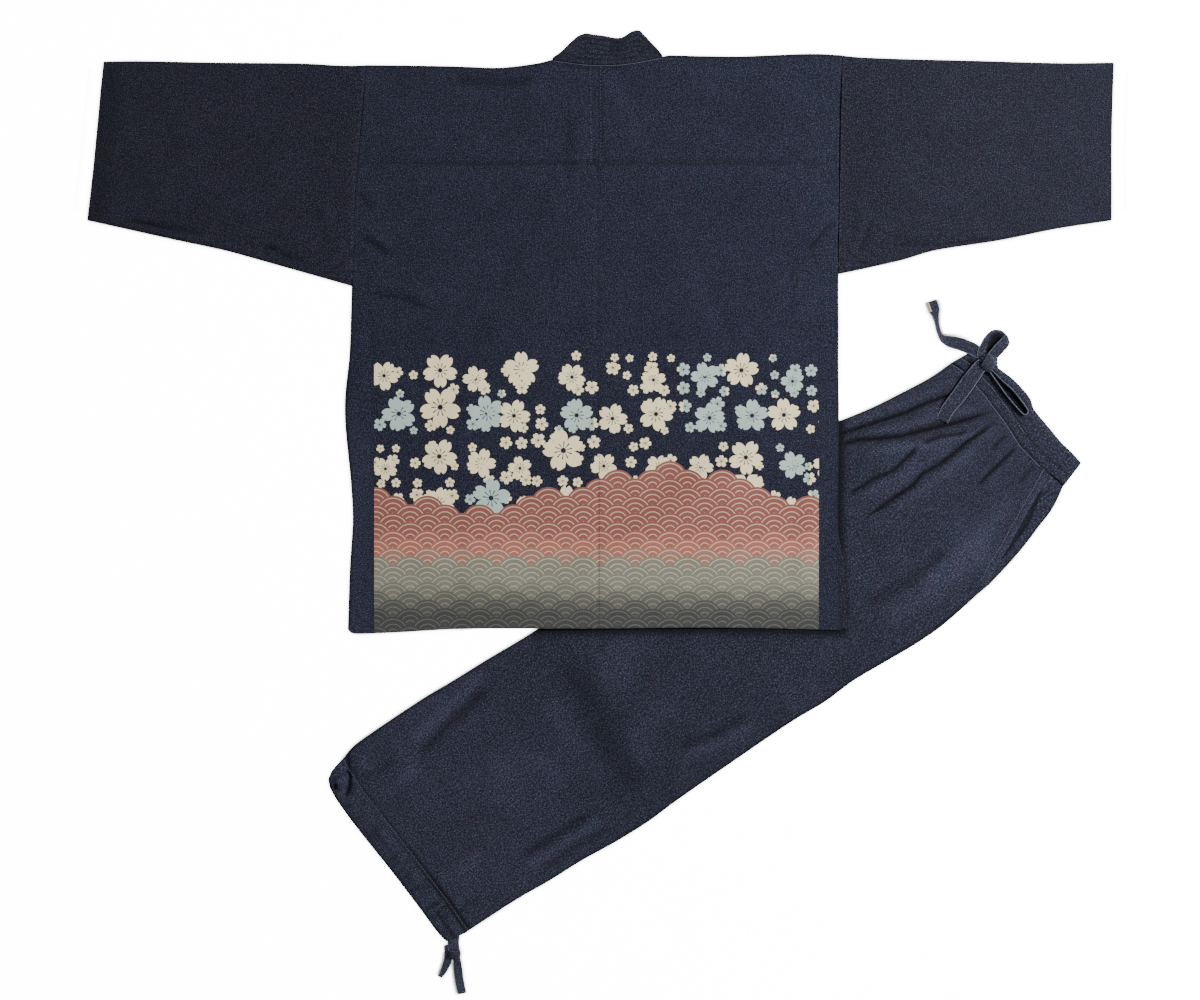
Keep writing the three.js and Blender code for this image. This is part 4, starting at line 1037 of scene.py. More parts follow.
front_outer = front_panel(
    "front_outer",
    joined(HEM_LEFT, [(CENTRE_BACK, -151.6), (FRONT_OVERLAP, -150.3)]),
    SHOULDER_LEFT,
    joined(SIDE_LEFT, ARMHOLE_LEFT),
    [(FRONT_OVERLAP, -150.3), (FRONT_OVERLAP, COLLAR_END_Y), (NECK_LEFT, 604)],
    outer_level,
)
front_inner = front_panel(
    "front_inner",
    joined([(-FRONT_OVERLAP, -152), (CENTRE_BACK, -151.6)], HEM_RIGHT[:-1], [(238.7, -151.6), (327.8, -154)]),
    SHOULDER_RIGHT,
    [(-FRONT_OVERLAP, -152), (-FRONT_OVERLAP, COLLAR_END_Y), (NECK_RIGHT, 607.5)],
    joined(SIDE_RIGHT_FRONT, ARMHOLE_RIGHT),
    inner_level,
)
print("fronts, m2 each:", [round(flat_area(thing), 3) for thing in (front_outer, front_inner)])

# %% [markdown]
# ## Sleeves
#
# A sleeve is a tube pressed flat: a fold along the top, a seam along the bottom, open at the cuff
# and the armhole. It is one wall whose section is a flattened ring, so both openings are real.

# %% Sleeve creases
SLEEVE_CREASES = [
    ([(-640, 388), (-600, 379), (-540, 370)], 4.5, 1.5, False),
    ([(-634, 395), (-599, 386), (-548, 377.5), (-526, 372)], 3.4, -1.7, True),
    ([(-442, 346), (-410, 330)], 6, 1.4, False),
    ([(-448, 358), (-433, 352), (-408, 339), (-390, 335)], 3.4, -1.6, True),
    ([(-338, 318), (-352, 360), (-372, 420)], 9, 1.5, False),
    ([(-350, 310), (-400, 340)], 8, 1.1, False),
    ([(383, 372), (441, 370), (527, 382)], 8, 1.8, False),
    ([(388, 360), (445, 358), (530, 369)], 5, -1.0, True),
    ([(527, 382), (600, 398), (654, 438)], 8, 1.7, False),
    ([(372, 432), (410, 444), (468, 460)], 9, 1.2, False),
    ([(336, 352), (344, 376), (352, 400)], 6, 1.8, False),
    ([(345, 346), (354, 372), (362, 392)], 4, -1.1, True),
    ([(-600, 560), (-540, 500), (-560, 440)], 24, 1.0, False),
    ([(-460, 540), (-420, 480), (-440, 430)], 24, 1.0, False),
    ([(450, 560), (500, 500), (480, 440)], 24, 1.0, False),
    ([(600, 570), (620, 500), (600, 450)], 22, 0.9, False),
]
SLEEVE_EDGES = {
    "left": {
        "fold": [(-312.3, 597), (-345, 596.6), (-400, 599.6), (-506, 600.6), (-613, 602.6), (-660.8, 602)],
        "seam": [(-330.8, 303.2), (-406.3, 324.5), (-454, 338), (-502.1, 351.1), (-564.6, 364.4),
                 (-682.6, 390.6)],
        "armhole": ARMHOLE_LEFT[::-1],
        "cuff": [(-660.8, 602), (-669.3, 510.7), (-676, 444.2), (-682.6, 390.6)],
        "out": -1,
    },
    "right": {
        "fold": [(322.3, 610), (345, 607.8), (398, 605.6), (452, 604.2), (505, 602.9), (611, 600),
                 (682.6, 600.6)],
        "seam": [(316.4, 319.2), (342.5, 324.5), (401, 337.8), (447.5, 351.1), (532.7, 364.4), (604.5, 379.1),
                 (679.6, 390.6)],
        "armhole": ARMHOLE_RIGHT[::-1],
        "cuff": [(682.6, 600.6), (679.6, 510.7), (679.6, 390.6)],
        "out": 1,
    },
}
CUFF_DEPTH = 18
# How much darker the band along each cuff is made.
CUFF_DARKENING = {"left": 0.3, "right": 0.0}
SLEEVE_TOP = 2 * CLOTH + GAP + 0.6
FOLD_ROUND = 4.5


def sleeve_puff(x, y, edges):
    cuff_row = inset_line(curve(edges["cuff"], 12), CUFF_DEPTH, -edges["out"])
    sides = [edges["fold"], edges["seam"]]
    edge = np.minimum(*[to_line(x, y, side)[0] for side in sides])
    inward = smooth(edge / 50)
    puff = inward * (1.1 + 0.7 * ripple(x, y, 105, 31) + 0.4 * ripple(x, y, 43, 32))
    puff += (0.3 + 0.7 * inward) * fold_height(x, y, SLEEVE_CREASES)
    puff += smooth(edge / 9) * 0.15 * ripple(x, y, 17, 33)
    puff += seam_pucker(x, y, cuff_row, 4, 0.5, 10, 34)
    puff += seam_pucker(x, y, edges["armhole"], 5, 0.5, 11, 35)
    return np.maximum(puff, -0.25)


def sleeve_tube(side):
    edges = SLEEVE_EDGES[side]
    name = f"sleeve_{side}"
    x, y, grain = patch(edges["seam"], edges["fold"], edges["armhole"][::-1], edges["cuff"][::-1], 4.8, 4.6)
    columns = x.shape[1]
    from_edge = np.minimum(grain[..., 1], grain[..., 1].max() - grain[..., 1])
    round_share = np.sqrt(1 - np.clip(1 - from_edge / FOLD_ROUND, 0, 1) ** 2)
    top = SLEEVE_TOP + sleeve_puff(x, y, edges)
    middle = SLEEVE_TOP * 0.45
    outer_top = middle + (top - middle) * round_share
    outer_low = middle * (1 - np.sqrt(1 - np.clip(1 - from_edge / 2.0, 0, 1) ** 2))
    wall_share = CLOTH / grain[..., 1].max()

    def drawn_in(a):
        return a[:1] + (a - a[:1]) * (1 - 2 * wall_share) + (a[-1:] - a[:1]) * wall_share

    inner_top = np.maximum(middle + (top - CLOTH - middle) * round_share, middle)
    inner_low = np.minimum(middle + (CLOTH - middle) * round_share, middle)

    def ring(px, py, high, low):
        up = np.stack([px, py, high], axis=-1)
        down = np.stack([px, py, low], axis=-1)[-2:0:-1]
        return np.concatenate([up, down])

    outer = ring(x, y, outer_top, outer_low)
    inner = ring(drawn_in(x), drawn_in(y), inner_top, inner_low)
    around = len(outer)
    grain_ring = np.concatenate([grain, grain[-2:0:-1] + [0, 400]])
    points = np.concatenate([outer.reshape(-1, 3), inner.reshape(-1, 3)])
    k, i = np.meshgrid(np.arange(around), np.arange(columns - 1), indexing="ij")
    here = k * columns + i
    ahead = ((k + 1) % around) * columns + i
    outside = np.stack([here, here + 1, ahead + 1, ahead], axis=-1).reshape(-1, 4)
    inside = outside[:, ::-1] + around * columns
    k = np.arange(around)
    ahead = (k + 1) % around
    size = around * columns
    start_rim = np.stack([k * columns, ahead * columns, size + ahead * columns, size + k * columns], axis=-1)
    end_rim = np.stack([ahead * columns, k * columns, size + k * columns, size + ahead * columns], axis=-1)
    end_rim += columns - 1
    faces = np.vstack([outside, inside, start_rim, end_rim])
    if edges["out"] < 0:
        faces = faces[:, ::-1]
    flat = grain_ring.reshape(-1, 2)
    seams = [edges["fold"], edges["seam"], edges["cuff"], edges["armhole"]]
    paleness = edge_wear(outer[..., 0], outer[..., 1], seams, 3.0, 0.18).ravel()
    # Painted shade in the creases and along the turned outer edges.
    dark = fold_shade(outer[..., 0], outer[..., 1], SLEEVE_CREASES)
    dark = np.maximum(dark, edge_shade(outer[..., 0], outer[..., 1], seams[:3]))
    # A darker band along the left cuff.
    from_cuff = to_line(outer[..., 0], outer[..., 1], edges["cuff"])[0]
    dark = np.maximum(dark, CUFF_DARKENING[side] * np.exp(-(from_cuff / 24) ** 4)).ravel()
    tube = to_mesh(name, points, faces, np.vstack([flat, flat]), np.concatenate([paleness, paleness]),
                   np.concatenate([dark, 0 * dark]))
    return dress(tube, [name], jacket_denim)


sleeve_left = sleeve_tube("left")
sleeve_right = sleeve_tube("right")
print("sleeves all round, m2 each:", [round(flat_area(thing), 3) for thing in (sleeve_left, sleeve_right)])

# %% [markdown]
# ## Collar band
#
# The neck band is doubled cloth held by parallel rows of stitches. The rows pull shallow channels
# into it, and its top edge is a fold with a dip where it sinks between the shoulders.

# %% Collar pieces
COLLAR_TOP = [(NECK_LEFT, 604.5), (-58.8, 607.7), (-48.7, 616.8), (-38.4, 626.9), (-29.5, 634.5),
              (-19.4, 638.1), (-11.7, 637.1), (6.1, 634.7), (16.2, 632.6), (23.9, 632), (31.5, 633.9),
              (40.4, 639.7), (46.8, 641.9), (51.9, 641.6), (55, 638.6), (67.2, 625.6), (76.1, 616.4),
              (NECK_RIGHT, 609.5)]
BAND = 2.0
BAND_HEIGHT = 36
COLLAR_CHANNELS = 6
collar_low = inset_line(neck_line(NECK_LEFT, NECK_RIGHT, 24), -0.35)


def channel_height(share, depth=0.7):
    """Rounded ribs between the rows of stitches; share is 0 at the seam and 1 at the fold."""
    return depth * np.abs(np.sin(np.pi * share * COLLAR_CHANNELS)) ** 0.6


def collar_net():
    """Rows of the net fan from the seam to the top edge, so that the band narrows at both ends."""
    across = spaced(NECK_WIDTH, 2.4)
    up = spaced(BAND_HEIGHT, 1.0)
    low = curve(collar_low, places=across)
    ends = 0.06
    share = np.clip(across, ends, 1 - ends)
    high = curve(COLLAR_TOP, places=ends * 0.2 + (1 - ends * 0.4) * share)
    high[0] = low[0] + (0.2, 1.2)
    high[-1] = low[-1] + (-0.2, 1.2)
    net = low[None] * (1 - up[:, None, None]) + high[None] * up[:, None, None]
    grain = np.stack(np.meshgrid(across * NECK_WIDTH, up * BAND_HEIGHT), axis=-1)
    return net[..., 0], net[..., 1], grain, np.meshgrid(across, up)[1]


COLLAR_FOLDS = [([(14, 606), (21, 630)], 11, -1.4, False), ([(48, 612), (66, 621)], 5, -0.8, False),
                ([(-46, 610), (-26, 628)], 7, 0.9, False), ([(-20, 604), (-6, 630)], 8, 0.8, False)]


def collar_surface(x, y, share):
    """Lower face of the band; it rises from the seam, because the fold at its top is thicker."""
    lean = 1.8 * smooth((share - 0.1) / 0.9) + 0.5 * ripple(x, y, 26, 41) * share
    return back_level(x, y) + 0.1 + np.maximum(lean + fold_height(x, y, COLLAR_FOLDS), 0)


x, y, grain, share = collar_net()
from_row = np.abs(share * COLLAR_CHANNELS - np.round(share * COLLAR_CHANNELS))
uneven = 0.72 + 0.28 * ripple(x, y * 3, 13, 44)
# Painted shade in the channel at each row of stitches and in the collar's folds.
collar_painted_shade = np.clip(uneven * np.exp(-(from_row / 0.13) ** 2) * smooth(share * 12), 0, 1)
collar_painted_shade = np.maximum(collar_painted_shade, fold_shade(x, y, COLLAR_FOLDS) * 0.6)
collar = wall("collar_back", (x, y, grain), collar_surface(x, y, share), BAND, shade=collar_painted_shade)
heights = np.zeros(len(collar.data.vertices) * 3)
collar.data.vertices.foreach_get("co", heights)
heights = heights.reshape(-1, 3)
heights[:x.size, 2] += channel_height(share).ravel() * MM
collar.data.vertices.foreach_set("co", heights.ravel())
collar.data.update()
dress(collar, ["collar_back"], collar_denim)


def front_band(name, corners, level):
    seam_top, seam_end, edge_end, edge_top, top = corners
    net = patch([seam_end, edge_end], [seam_top, top], [seam_end, seam_top], [edge_end, edge_top, top],
                3.2, 9.0)
    band = wall(name, net, level(net[0], net[1]) + 0.05, BAND_FLAT)
    return dress(band, [name], collar_denim)


collar_front_outer = front_band("collar_front_outer", outer_band, outer_level)
collar_front_inner = front_band("collar_front_inner", inner_band, inner_level)

# %% [markdown]
# ## Ties under the fronts
#
# Two cloth ties lie flat between the layers. They are only seen from below, so plain strips do.

# %% Jacket ties
for name, (low_start, low_end, high_end, high_start) in TIES.items():
    net = patch([low_start, low_end], [high_start, high_end], [low_start, high_start], [low_end, high_end],
                8, 3)
    tie = wall(name, net, outer_level(net[0], net[1]) + 0.05, BAND_FLAT)
    dress(tie, [name], ribbon_denim)

# %% [markdown]
# ## Trousers: the height of the upper leg
#
# The leg is a soft dome with real folds: the waist is gathered on elastic, and pleats run from it down
# the thigh. Deep folds are sharp at the bottom and rounded on top, so a trough and a ridge stand
# beside each other.

# %% Folds of the upper leg
LEG_LOW = 5.5
LEG_FOLDS = [
    ([(300, -120), (226.7, -101.4), (202, -91.7), (178, -76.6), (153, -62.8), (131, -54.8), (107, -45),
      (83, -35), (54, -25.5), (31, -19)], 4.5, -4.6, True),
    ([(140, -40), (112, -33), (92, -22), (76, -18)], 3.5, -1.8, True),
    ([(210, -75), (172, -57), (140, -37), (105, -25), (72, -6), (40, -1)], 8, 2.8, False),
    ([(228, -104), (170, -82), (120, -62), (80, -44), (46, -34)], 8, 2.2, False),
    ([(300, -136), (220.4, -113.6), (170, -97.7), (130.5, -85), (105.5, -81), (76.6, -72.7), (45, -59)],
     4, -3.6, True),
    ([(214, -118), (160, -102), (105, -90), (60, -84)], 7, 1.4, False),
    ([(262, -41), (216, -38.3), (189, -32.7), (158, -36.7), (139.8, -42.8)], 3.5, -2.2, True),
    ([(250, -30), (215, -27), (180, -22), (150, -25)], 7, 1.4, False),
    ([(262, -2), (210, -2.5), (179.6, -1.6), (162, -6.5), (139, -4.2), (115, -4.2), (89, -6.5), (54, -6.2),
      (36, -7)], 3.8, -2.7, True),
    ([(240, 8), (190, 9), (120, 7), (70, 5)], 8, 1.7, False),
    ([(235, -13), (190, -12), (140, -15), (100, -16)], 6, 1.0, False),
    ([(112, 49), (74, 42.5), (36, 36.5)], 2.6, -2.0, True),
    ([(108, 55), (74, 49), (42, 43)], 4, 0.8, False),
    ([(150, -60), (120, -52), (96, -50)], 4, -1.4, False),
    ([(70, 20), (50, 18), (38, 17)], 4, -1.2, True),
    ([(66, 78), (48, 74), (30, 70)], 4, -1.2, True),
    ([(120, 112), (210, 128), (330, 122)], 16, 1.7, False),
    ([(80, 92), (190, 108), (260, 112)], 12, 1.5, False),
    ([(190, 95), (260, 98), (330, 90)], 9, -1.1, False),
    ([(689, -81), (697, -12), (710, 52), (716, 129)], 24, -1.2, False),
    ([(735, -60), (745, 20), (740, 90)], 22, 1.2, False),
    ([(932, -107), (867, -118), (784, -132)], 10, 2.2, False),
    ([(925, -90), (860, -101), (790, -112)], 8, -1.8, False),
    ([(900, 112), (838, 116), (775, 120)], 10, 2.0, False),
    ([(895, 97), (838, 101), (780, 104)], 7, -1.7, False),
    ([(655, 111), (593, 127), (525, 135)], 10, 1.9, False),
    ([(640, 98), (590, 112), (530, 120)], 7, -1.3, False),
    ([(880, 130), (820, 128), (770, 136)], 6, -1.0, False),
    ([(992, -152), (1002, -137), (1011, -119), (1016, -112)], 3.5, -4.4, True),
    ([(985, -140), (990, -122), (985, -100)], 9, 1.6, False),
    ([(1003, -112), (975, -104), (950, -106)], 6, -1.2, False),
    ([(1000, -70), (965, -78), (930, -80)], 10, 1.2, False),
    ([(1000, 60), (960, 66), (930, 60)], 9, 1.1, False),
    ([(1001, 112), (985, 108), (965, 112)], 6, -1.0, False),
    ([(860, -30), (800, 10), (790, 60)], 24, 1.3, False),
    ([(560, -60), (640, -30), (700, -40)], 26, 1.2, False),
    ([(610, 40), (680, 60), (690, 100)], 20, 1.1, False),
]
POCKET_LIP = 0.9
BAND_THICK = 1.7
WAIST_ROW = [(29, -101.5), (23, -86), (18, -43), (17, 2), (19, 38.5), (13, 77), (6, 106)]
COVERED_RISE = 2.2


def waist_gathers(s, t, reach):
    """Puckers that the elastic pulls up, each one a little different, fading down the leg."""
    beside = 5.5 * ripple(t, 0 * t, 40, 71)
    wave = 0.5 + 0.5 * np.cos(2 * np.pi * (t + beside) / 15.5)
    return wave**1.6 * (0.75 + 0.35 * ripple(t, 0 * t + 9, 17, 72)) * np.exp(-np.maximum(s - 30, 0) / reach)


def leg_rise(s, t):
    edge = to_line(s, t, np.vstack([leg_outline, leg_outline[:1]]))[0]
    inward = smooth(edge / 45)
    thigh = 2.6 * smooth((285 - s) / 120) * smooth((s - 20) / 50) * smooth((80 - t) / 90)
    rise = inward * (1.6 + thigh + 0.7 * ripple(s, t, 105, 51) + 0.45 * ripple(s, t, 41, 52))
    rise += smooth(edge / 10) * 0.22 * ripple(s, t, 16, 53)
    folds = fold_height(s, t, LEG_FOLDS)
    x, y = leg_to_table(s, t)
    clear = outside_by(x, y, back_outline)
    rise += folds * (0.4 + 0.6 * smooth(edge / 18))
    rise += 1.1 * waist_gathers(s, t, 26) * smooth(edge / 8)
    rise += seam_pucker(s, t, CASING_SEAM, 5, 0.7, 12, 54)
    rise += seam_pucker(s, t, inset_line(POCKET_MOUTH, 7), 3, 0.3, 12, 55)
    top = COVERED_RISE + 0.25 * np.maximum(clear - 6, 0)
    over = np.maximum(rise - top, 0)
    return np.maximum(rise - over + 0.15 * np.tanh(over), -0.3)


def leg_surface(s, t):
    """Lower face of the upper leg's cloth."""
    edge = to_line(s, t, np.vstack([leg_outline, leg_outline[:1]]))[0]
    rolled = 2.6 * (1 - np.sqrt(1 - np.clip(1 - edge / 6, 0, 1) ** 2))
    return LEG_LOW + leg_rise(s, t) - rolled * 0.75


# %% [markdown]
# ## Trousers: the cloth pieces
#
# The front panel's net runs from the waist seam to the casing. Its upper corner is cut away by the slanted
# pocket mouth, where a turned lip with one row of stitches stands over the panel behind it.

# %% Leg, pocket, waistband and casing
LEG_CELL = 5.0
leg_net = patch(LEG_FRONT_EDGE, joined(POCKET_MOUTH, LEG_SIDE_EDGE[5:]), WAIST_SEAM[:-1], CASING_SEAM,
                LEG_CELL, 2.1, 1.8, 250)
s, t, grain = leg_net
from_pocket = to_line(s, t, POCKET_MOUTH)[0]
lip = POCKET_LIP * (1 - smooth((from_pocket - 7) / 10))
leg_edges = [LEG_FRONT_EDGE, LEG_SIDE_EDGE, POCKET_MOUTH, WAIST_SEAM, CASING_SEAM]
leg_wear_and_painted_highlight = edge_wear(s, t, leg_edges, 2.6, 0.2)
# Painted highlight: the ridges of the folds are made paler where light catches them.
leg_wear_and_painted_highlight = np.clip(leg_wear_and_painted_highlight + 0.2 * np.clip(fold_height(s, t, LEG_FOLDS) / 2.4, 0, 1), 0, 1)
# The leg is also made paler towards the hem.
leg_wear_and_painted_highlight = np.clip(leg_wear_and_painted_highlight + 0.1 * smooth((s - 730) / 140), 0, 1)
x, y = leg_to_table(s, t)
# Painted shadow of the jacket on the trousers beside its edge.
jacket_painted_shadow = 0.93 * np.exp(-(outside_by(x, y, back_outline) / 10) ** 2.4)
# Painted shade at the bottom of the leg's folds.
leg_painted_shade = np.maximum(fold_shade(s, t, LEG_FOLDS), jacket_painted_shadow)


def casing_line_painted_shade(s, t, inset, reach):
    """Painted shade on the line above the casing, which grows stronger towards the tie."""
    away, share = to_line(s, t, inset_line(CASING_SEAM, -inset))
    return (0.3 + 0.66 * smooth(share * 1.9 - 0.6)) * np.exp(-(away / reach) ** 2)


leg_painted_shade = np.maximum(leg_painted_shade, casing_line_painted_shade(s, t, 4.5, 2.6))
# Painted shade under the waistband's edge, along the waist seam.
waist_away = to_line(s, t, inset_line(WAIST_SEAM[:-1], 0.6))[0]
leg_painted_shade = np.maximum(leg_painted_shade, 0.88 * np.exp(-(waist_away / 1.7) ** 2))
TAIL_OUTLINE = [(14.4, -87.9), (39.7, -81.1), (64, -73.6), (86.2, -64.8), (94.6, -56.1), (98, -47),
                (82.6, -47.5), (54.7, -53.9), (34.7, -61.5), (14.6, -69.1)]
LOOP_OUTLINE = [(6.3, -66), (4.1, -47.1), (-0.5, -29.1), (-2, -10.5), (-2, 6), (1, 9), (5, 7), (7.4, -9.8),
                (8.7, -28.3), (9, -44.6), (9.3, -62.3)]
# Middle of the painted shadow under the knot.
KNOT_SHADOW_SPOT = (22, -89)


def ribbon_painted_shadow(s, t):
    """Painted shadow of the ribbons that lie just above the cloth, darkest under the knot."""
    tail = np.exp(-(outside_by(s, t, TAIL_OUTLINE) / 2.2) ** 1.5)
    loop = np.exp(-(outside_by(s, t, LOOP_OUTLINE) / 1.2) ** 1.5)
    knot_shadow = np.exp(-(np.hypot(s - KNOT_SHADOW_SPOT[0], t - KNOT_SHADOW_SPOT[1]) / 7) ** 2)
    return np.maximum(0.55 * tail, np.maximum(0.95 * loop, 0.95 * knot_shadow))


# Painted shadow under the ribbons and the knot, and painted shade along the turned outer edges.
leg_painted_shade = np.maximum(leg_painted_shade, ribbon_painted_shadow(s, t))
leg_painted_shade = np.maximum(leg_painted_shade, edge_shade(s, t, [LEG_FRONT_EDGE, LEG_SIDE_EDGE]))
leg_front = wall("leg_front", leg_net, leg_surface(s, t) + lip, CLOTH, leg_wear_and_painted_highlight, leg_to_table, leg_painted_shade)
dress(leg_front, ["leg_front"], trouser_denim)

under_lip = inset_line([(14, 85), *POCKET_MOUTH[1:-1]], 4.5)
panel_net = patch([*under_lip, (176, 159.5)], [(10, 112), *LEG_SIDE_EDGE[1:5]],
                  [tuple(under_lip[0]), (10, 112)], [(176, 159.5), LEG_SIDE_EDGE[4]], 2.0, 1.3)
s, t, grain = panel_net
# Painted shade in the pocket mouth: dark inside the opening, darkest along its edges and under the lip, and
# along the side edge.
mouth_away = outside_by(s, t, POCKET_MOUTH[:5] + MOUTH_OPEN[::-1])
lip_away = to_line(s, t, POCKET_MOUTH)[0]
mouth_edge = np.minimum(lip_away, to_line(s, t, MOUTH_OPEN)[0])
mouth_painted_shade = np.exp(-(mouth_away / 1.6) ** 2) * (0.62 + 0.36 * np.exp(-(mouth_edge / 2.0) ** 2))
mouth_painted_shade = np.maximum(mouth_painted_shade, 0.9 * np.exp(-(lip_away / 2.2) ** 2))
side_panel = wall("leg_side_panel", panel_net, leg_surface(s, t) - 0.6, CLOTH, None, leg_to_table,
                  np.maximum(mouth_painted_shade, edge_shade(s, t, [LEG_SIDE_EDGE])))
dress(side_panel, ["leg_side_panel"], trouser_denim)

band_net = patch([(19.6, -100.7), (41, -103)], [(-20, 104), (15.5, 115)], WAIST_EDGE, WAIST_SEAM, 1.6, 1.5)
s, t, grain = band_net
row_away = to_line(s, t, WAIST_ROW)[0]
seam_away = to_line(s, t, WAIST_SEAM)[0]
edge_away = to_line(s, t, WAIST_EDGE)[0]
puffed = waist_gathers(s, t, 60) * (1 - 0.7 * np.exp(-(row_away / 2.5) ** 2))
puffed += 0.5 * smooth(edge_away / 5) - 0.9 * np.exp(-(row_away / 2.0) ** 2)
puffed -= 0.4 * np.exp(-(seam_away / 2.0) ** 2)
band_low = LEG_LOW + 0.5 + 0 * s - 1.6 * (1 - np.sqrt(1 - np.clip(1 - edge_away / 5, 0, 1) ** 2))
band_wear = np.clip(np.exp(-(edge_away / 3) ** 2) * 0.2 + np.exp(-(row_away / 1.5) ** 2) * 0.12, 0, 1)
# Painted shade beside the stitch row, at the waist seam, under the ribbons and along the rolled top edge.
band_painted_shade = np.maximum(0.5 * np.exp(-((row_away - 1.5) / 1.2) ** 2), 0.5 * np.exp(-(seam_away / 1.4) ** 2))
band_painted_shade = np.maximum(band_painted_shade, ribbon_painted_shadow(s, t))
band_painted_shade = np.maximum(band_painted_shade, 0.72 * np.exp(-(edge_away / 2.0) ** 2))
waistband = wall("waist_band", band_net, band_low + puffed, BAND_THICK, band_wear, leg_to_table, band_painted_shade)
dress(waistband, ["waistband"], trouser_denim)

casing_net = patch([(1008, -144.7), (1025, -141), (1037, -134)], [(1005, 137), (1019, 134), (1034.6, 131)],
                   CASING_SEAM, HEM_EDGE, 1.5, 2.0)
s, t, grain = casing_net
hem_away = to_line(s, t, HEM_EDGE)[0]
CASING_FOLDS = [
    ([(1012, -136), (1026, -128), (1032, -114)], 5, 2.8, False),
    ([(996, -150), (1004, -136), (1011.5, -120), (1020, -110), (1033, -100.5)], 3, -4.4, True),
    ([(1031, -124), (1038, -118)], 2.2, -3.0, True),
    ([(1012, -104), (1022, -96), (1036, -90)], 5, 1.6, False),
    ([(1012, 84), (1034, 80)], 3, -1.2, True),
    ([(1012, 30), (1036, 26)], 7, 0.8, False),
    ([(1012, -40), (1038, -46)], 7, 0.8, False),
    ([(1020, 70), (1021, 0), (1022, -80)], 5, 0.9, False),
]
tab = 1.3 * smooth((t - 94) / 2.5) * smooth((1022 - s) / 3)
puckers = ripple(s * 0.3, t, 5.0, 59)
gathers = 0.7 * puckers * smooth(hem_away / 4)
casing_rise = 0.7 * smooth(hem_away / 7) + 0.45 * ripple(s * 0.5, t, 15, 58) + fold_height(s, t, CASING_FOLDS)
casing_rise += tab + gathers
# Painted shade in the folds, between the gathers, along the tab's edge, at the rolled hem and on the line by
# the seam.
casing_painted_shade = np.maximum(fold_shade(s, t, CASING_FOLDS), 0.45 * np.clip(-puckers, 0, 1))
tab_away = to_line(s, t, [(1004, 93), (1023, 93), (1023, 134)])[0]
casing_painted_shade = np.maximum(casing_painted_shade, 0.7 * np.exp(-(tab_away / 1.4) ** 2))
casing_painted_shade = np.maximum(casing_painted_shade, 0.72 * np.exp(-(hem_away / 2.0) ** 2))
casing_painted_shade = np.maximum(casing_painted_shade, casing_line_painted_shade(s, t, 0, 1.6))
casing_low = leg_surface(np.minimum(s, 1004), t) + casing_rise
casing_low -= 1.8 * (1 - np.sqrt(1 - np.clip(1 - hem_away / 5, 0, 1) ** 2))
casing_wear = np.clip(np.exp(-(hem_away / 3) ** 2) * 0.2 + 0.16, 0, 1)
hem_casing = wall("hem_casing", casing_net, np.maximum(casing_low, LEG_LOW - 2), BAND_THICK, casing_wear,
                  leg_to_table, casing_painted_shade)
dress(hem_casing, ["hem_casing"], trouser_denim)
print("leg panel, m2:", round(flat_area(leg_front), 3))

# %% [markdown]
# ### The layers beneath
#
# Three more layers of the two legs lie under the front panel. At the waist, fold and hem their rims show
# as thin stepped edges, so each is a wall of its own inside one piece.

# %% Hidden layers of the legs
LAYER_INSETS = (1.6, 0.3, 1.4)
LAYER_STEP = 1.8
LAYER_CELL = 11
LEG_MIDDLE = (512.0, 8.0)
LEG_HALF = (530.0, 150.0)

layers = []
for number, inset in enumerate(LAYER_INSETS):
    front_side = joined([(19.6, -100.7), LEG_FRONT_EDGE[0]], LEG_FRONT_EDGE, [(1008, -144.7), (1037, -134)])
    far_side = joined([(-20, 104), LEG_SIDE_EDGE[0]], LEG_SIDE_EDGE, [(1005, 137), (1034.6, 131)])
    sides = (front_side, far_side, WAIST_EDGE, HEM_EDGE)
    net = patch(*[squeezed(side, inset, LEG_MIDDLE, LEG_HALF) for side in sides], LAYER_CELL, LAYER_CELL)
    s, t, grain = net
    edge = np.minimum(to_line(s, t, LEG_FRONT_EDGE)[0], to_line(s, t, LEG_SIDE_EDGE)[0])
    puff = smooth(edge / 40) * (0.25 * number + 0.2 * ripple(s, t, 60, 80 + number) * number)
    low = number * LAYER_STEP + np.maximum(puff, 0)
    paleness = edge_wear(s, t, [LEG_FRONT_EDGE, HEM_EDGE], 3, 0.3)
    layers.append(wall(f"leg layer {number}", net, low, CLOTH, paleness, leg_to_table))
folded_layers = layers[0]
with bpy.context.temp_override(active_object=folded_layers, selected_editable_objects=layers):
    bpy.ops.object.join()
folded_layers.name = "folded-layers"
dress(folded_layers, ["folded_layers"], trouser_denim)

# %% [markdown]
# ## Ribbons and knots
#
# The drawstring and the hem tie are flat ribbons of the same denim. Each one follows a few rows: a place,
# a height, a width and a lean. Between the rows the strip is smoothed, and its section is a flat oval
# with a shallow channel where the stitches run.

# %% Ribbon builder
RIBBON_THICK = 1.4
RIB_PLACES = np.array([-1, -0.97, -0.9, -0.8, -0.72, -0.62, -0.3, 0, 0.3, 0.62, 0.72, 0.8, 0.9, 0.97, 1])
RIB_HEIGHTS = np.array([0.1, 0.55, 0.85, 0.95, 0.75, 1, 1.02, 1.0, 1.02, 1, 0.75, 0.95, 0.85, 0.55, 0.1])


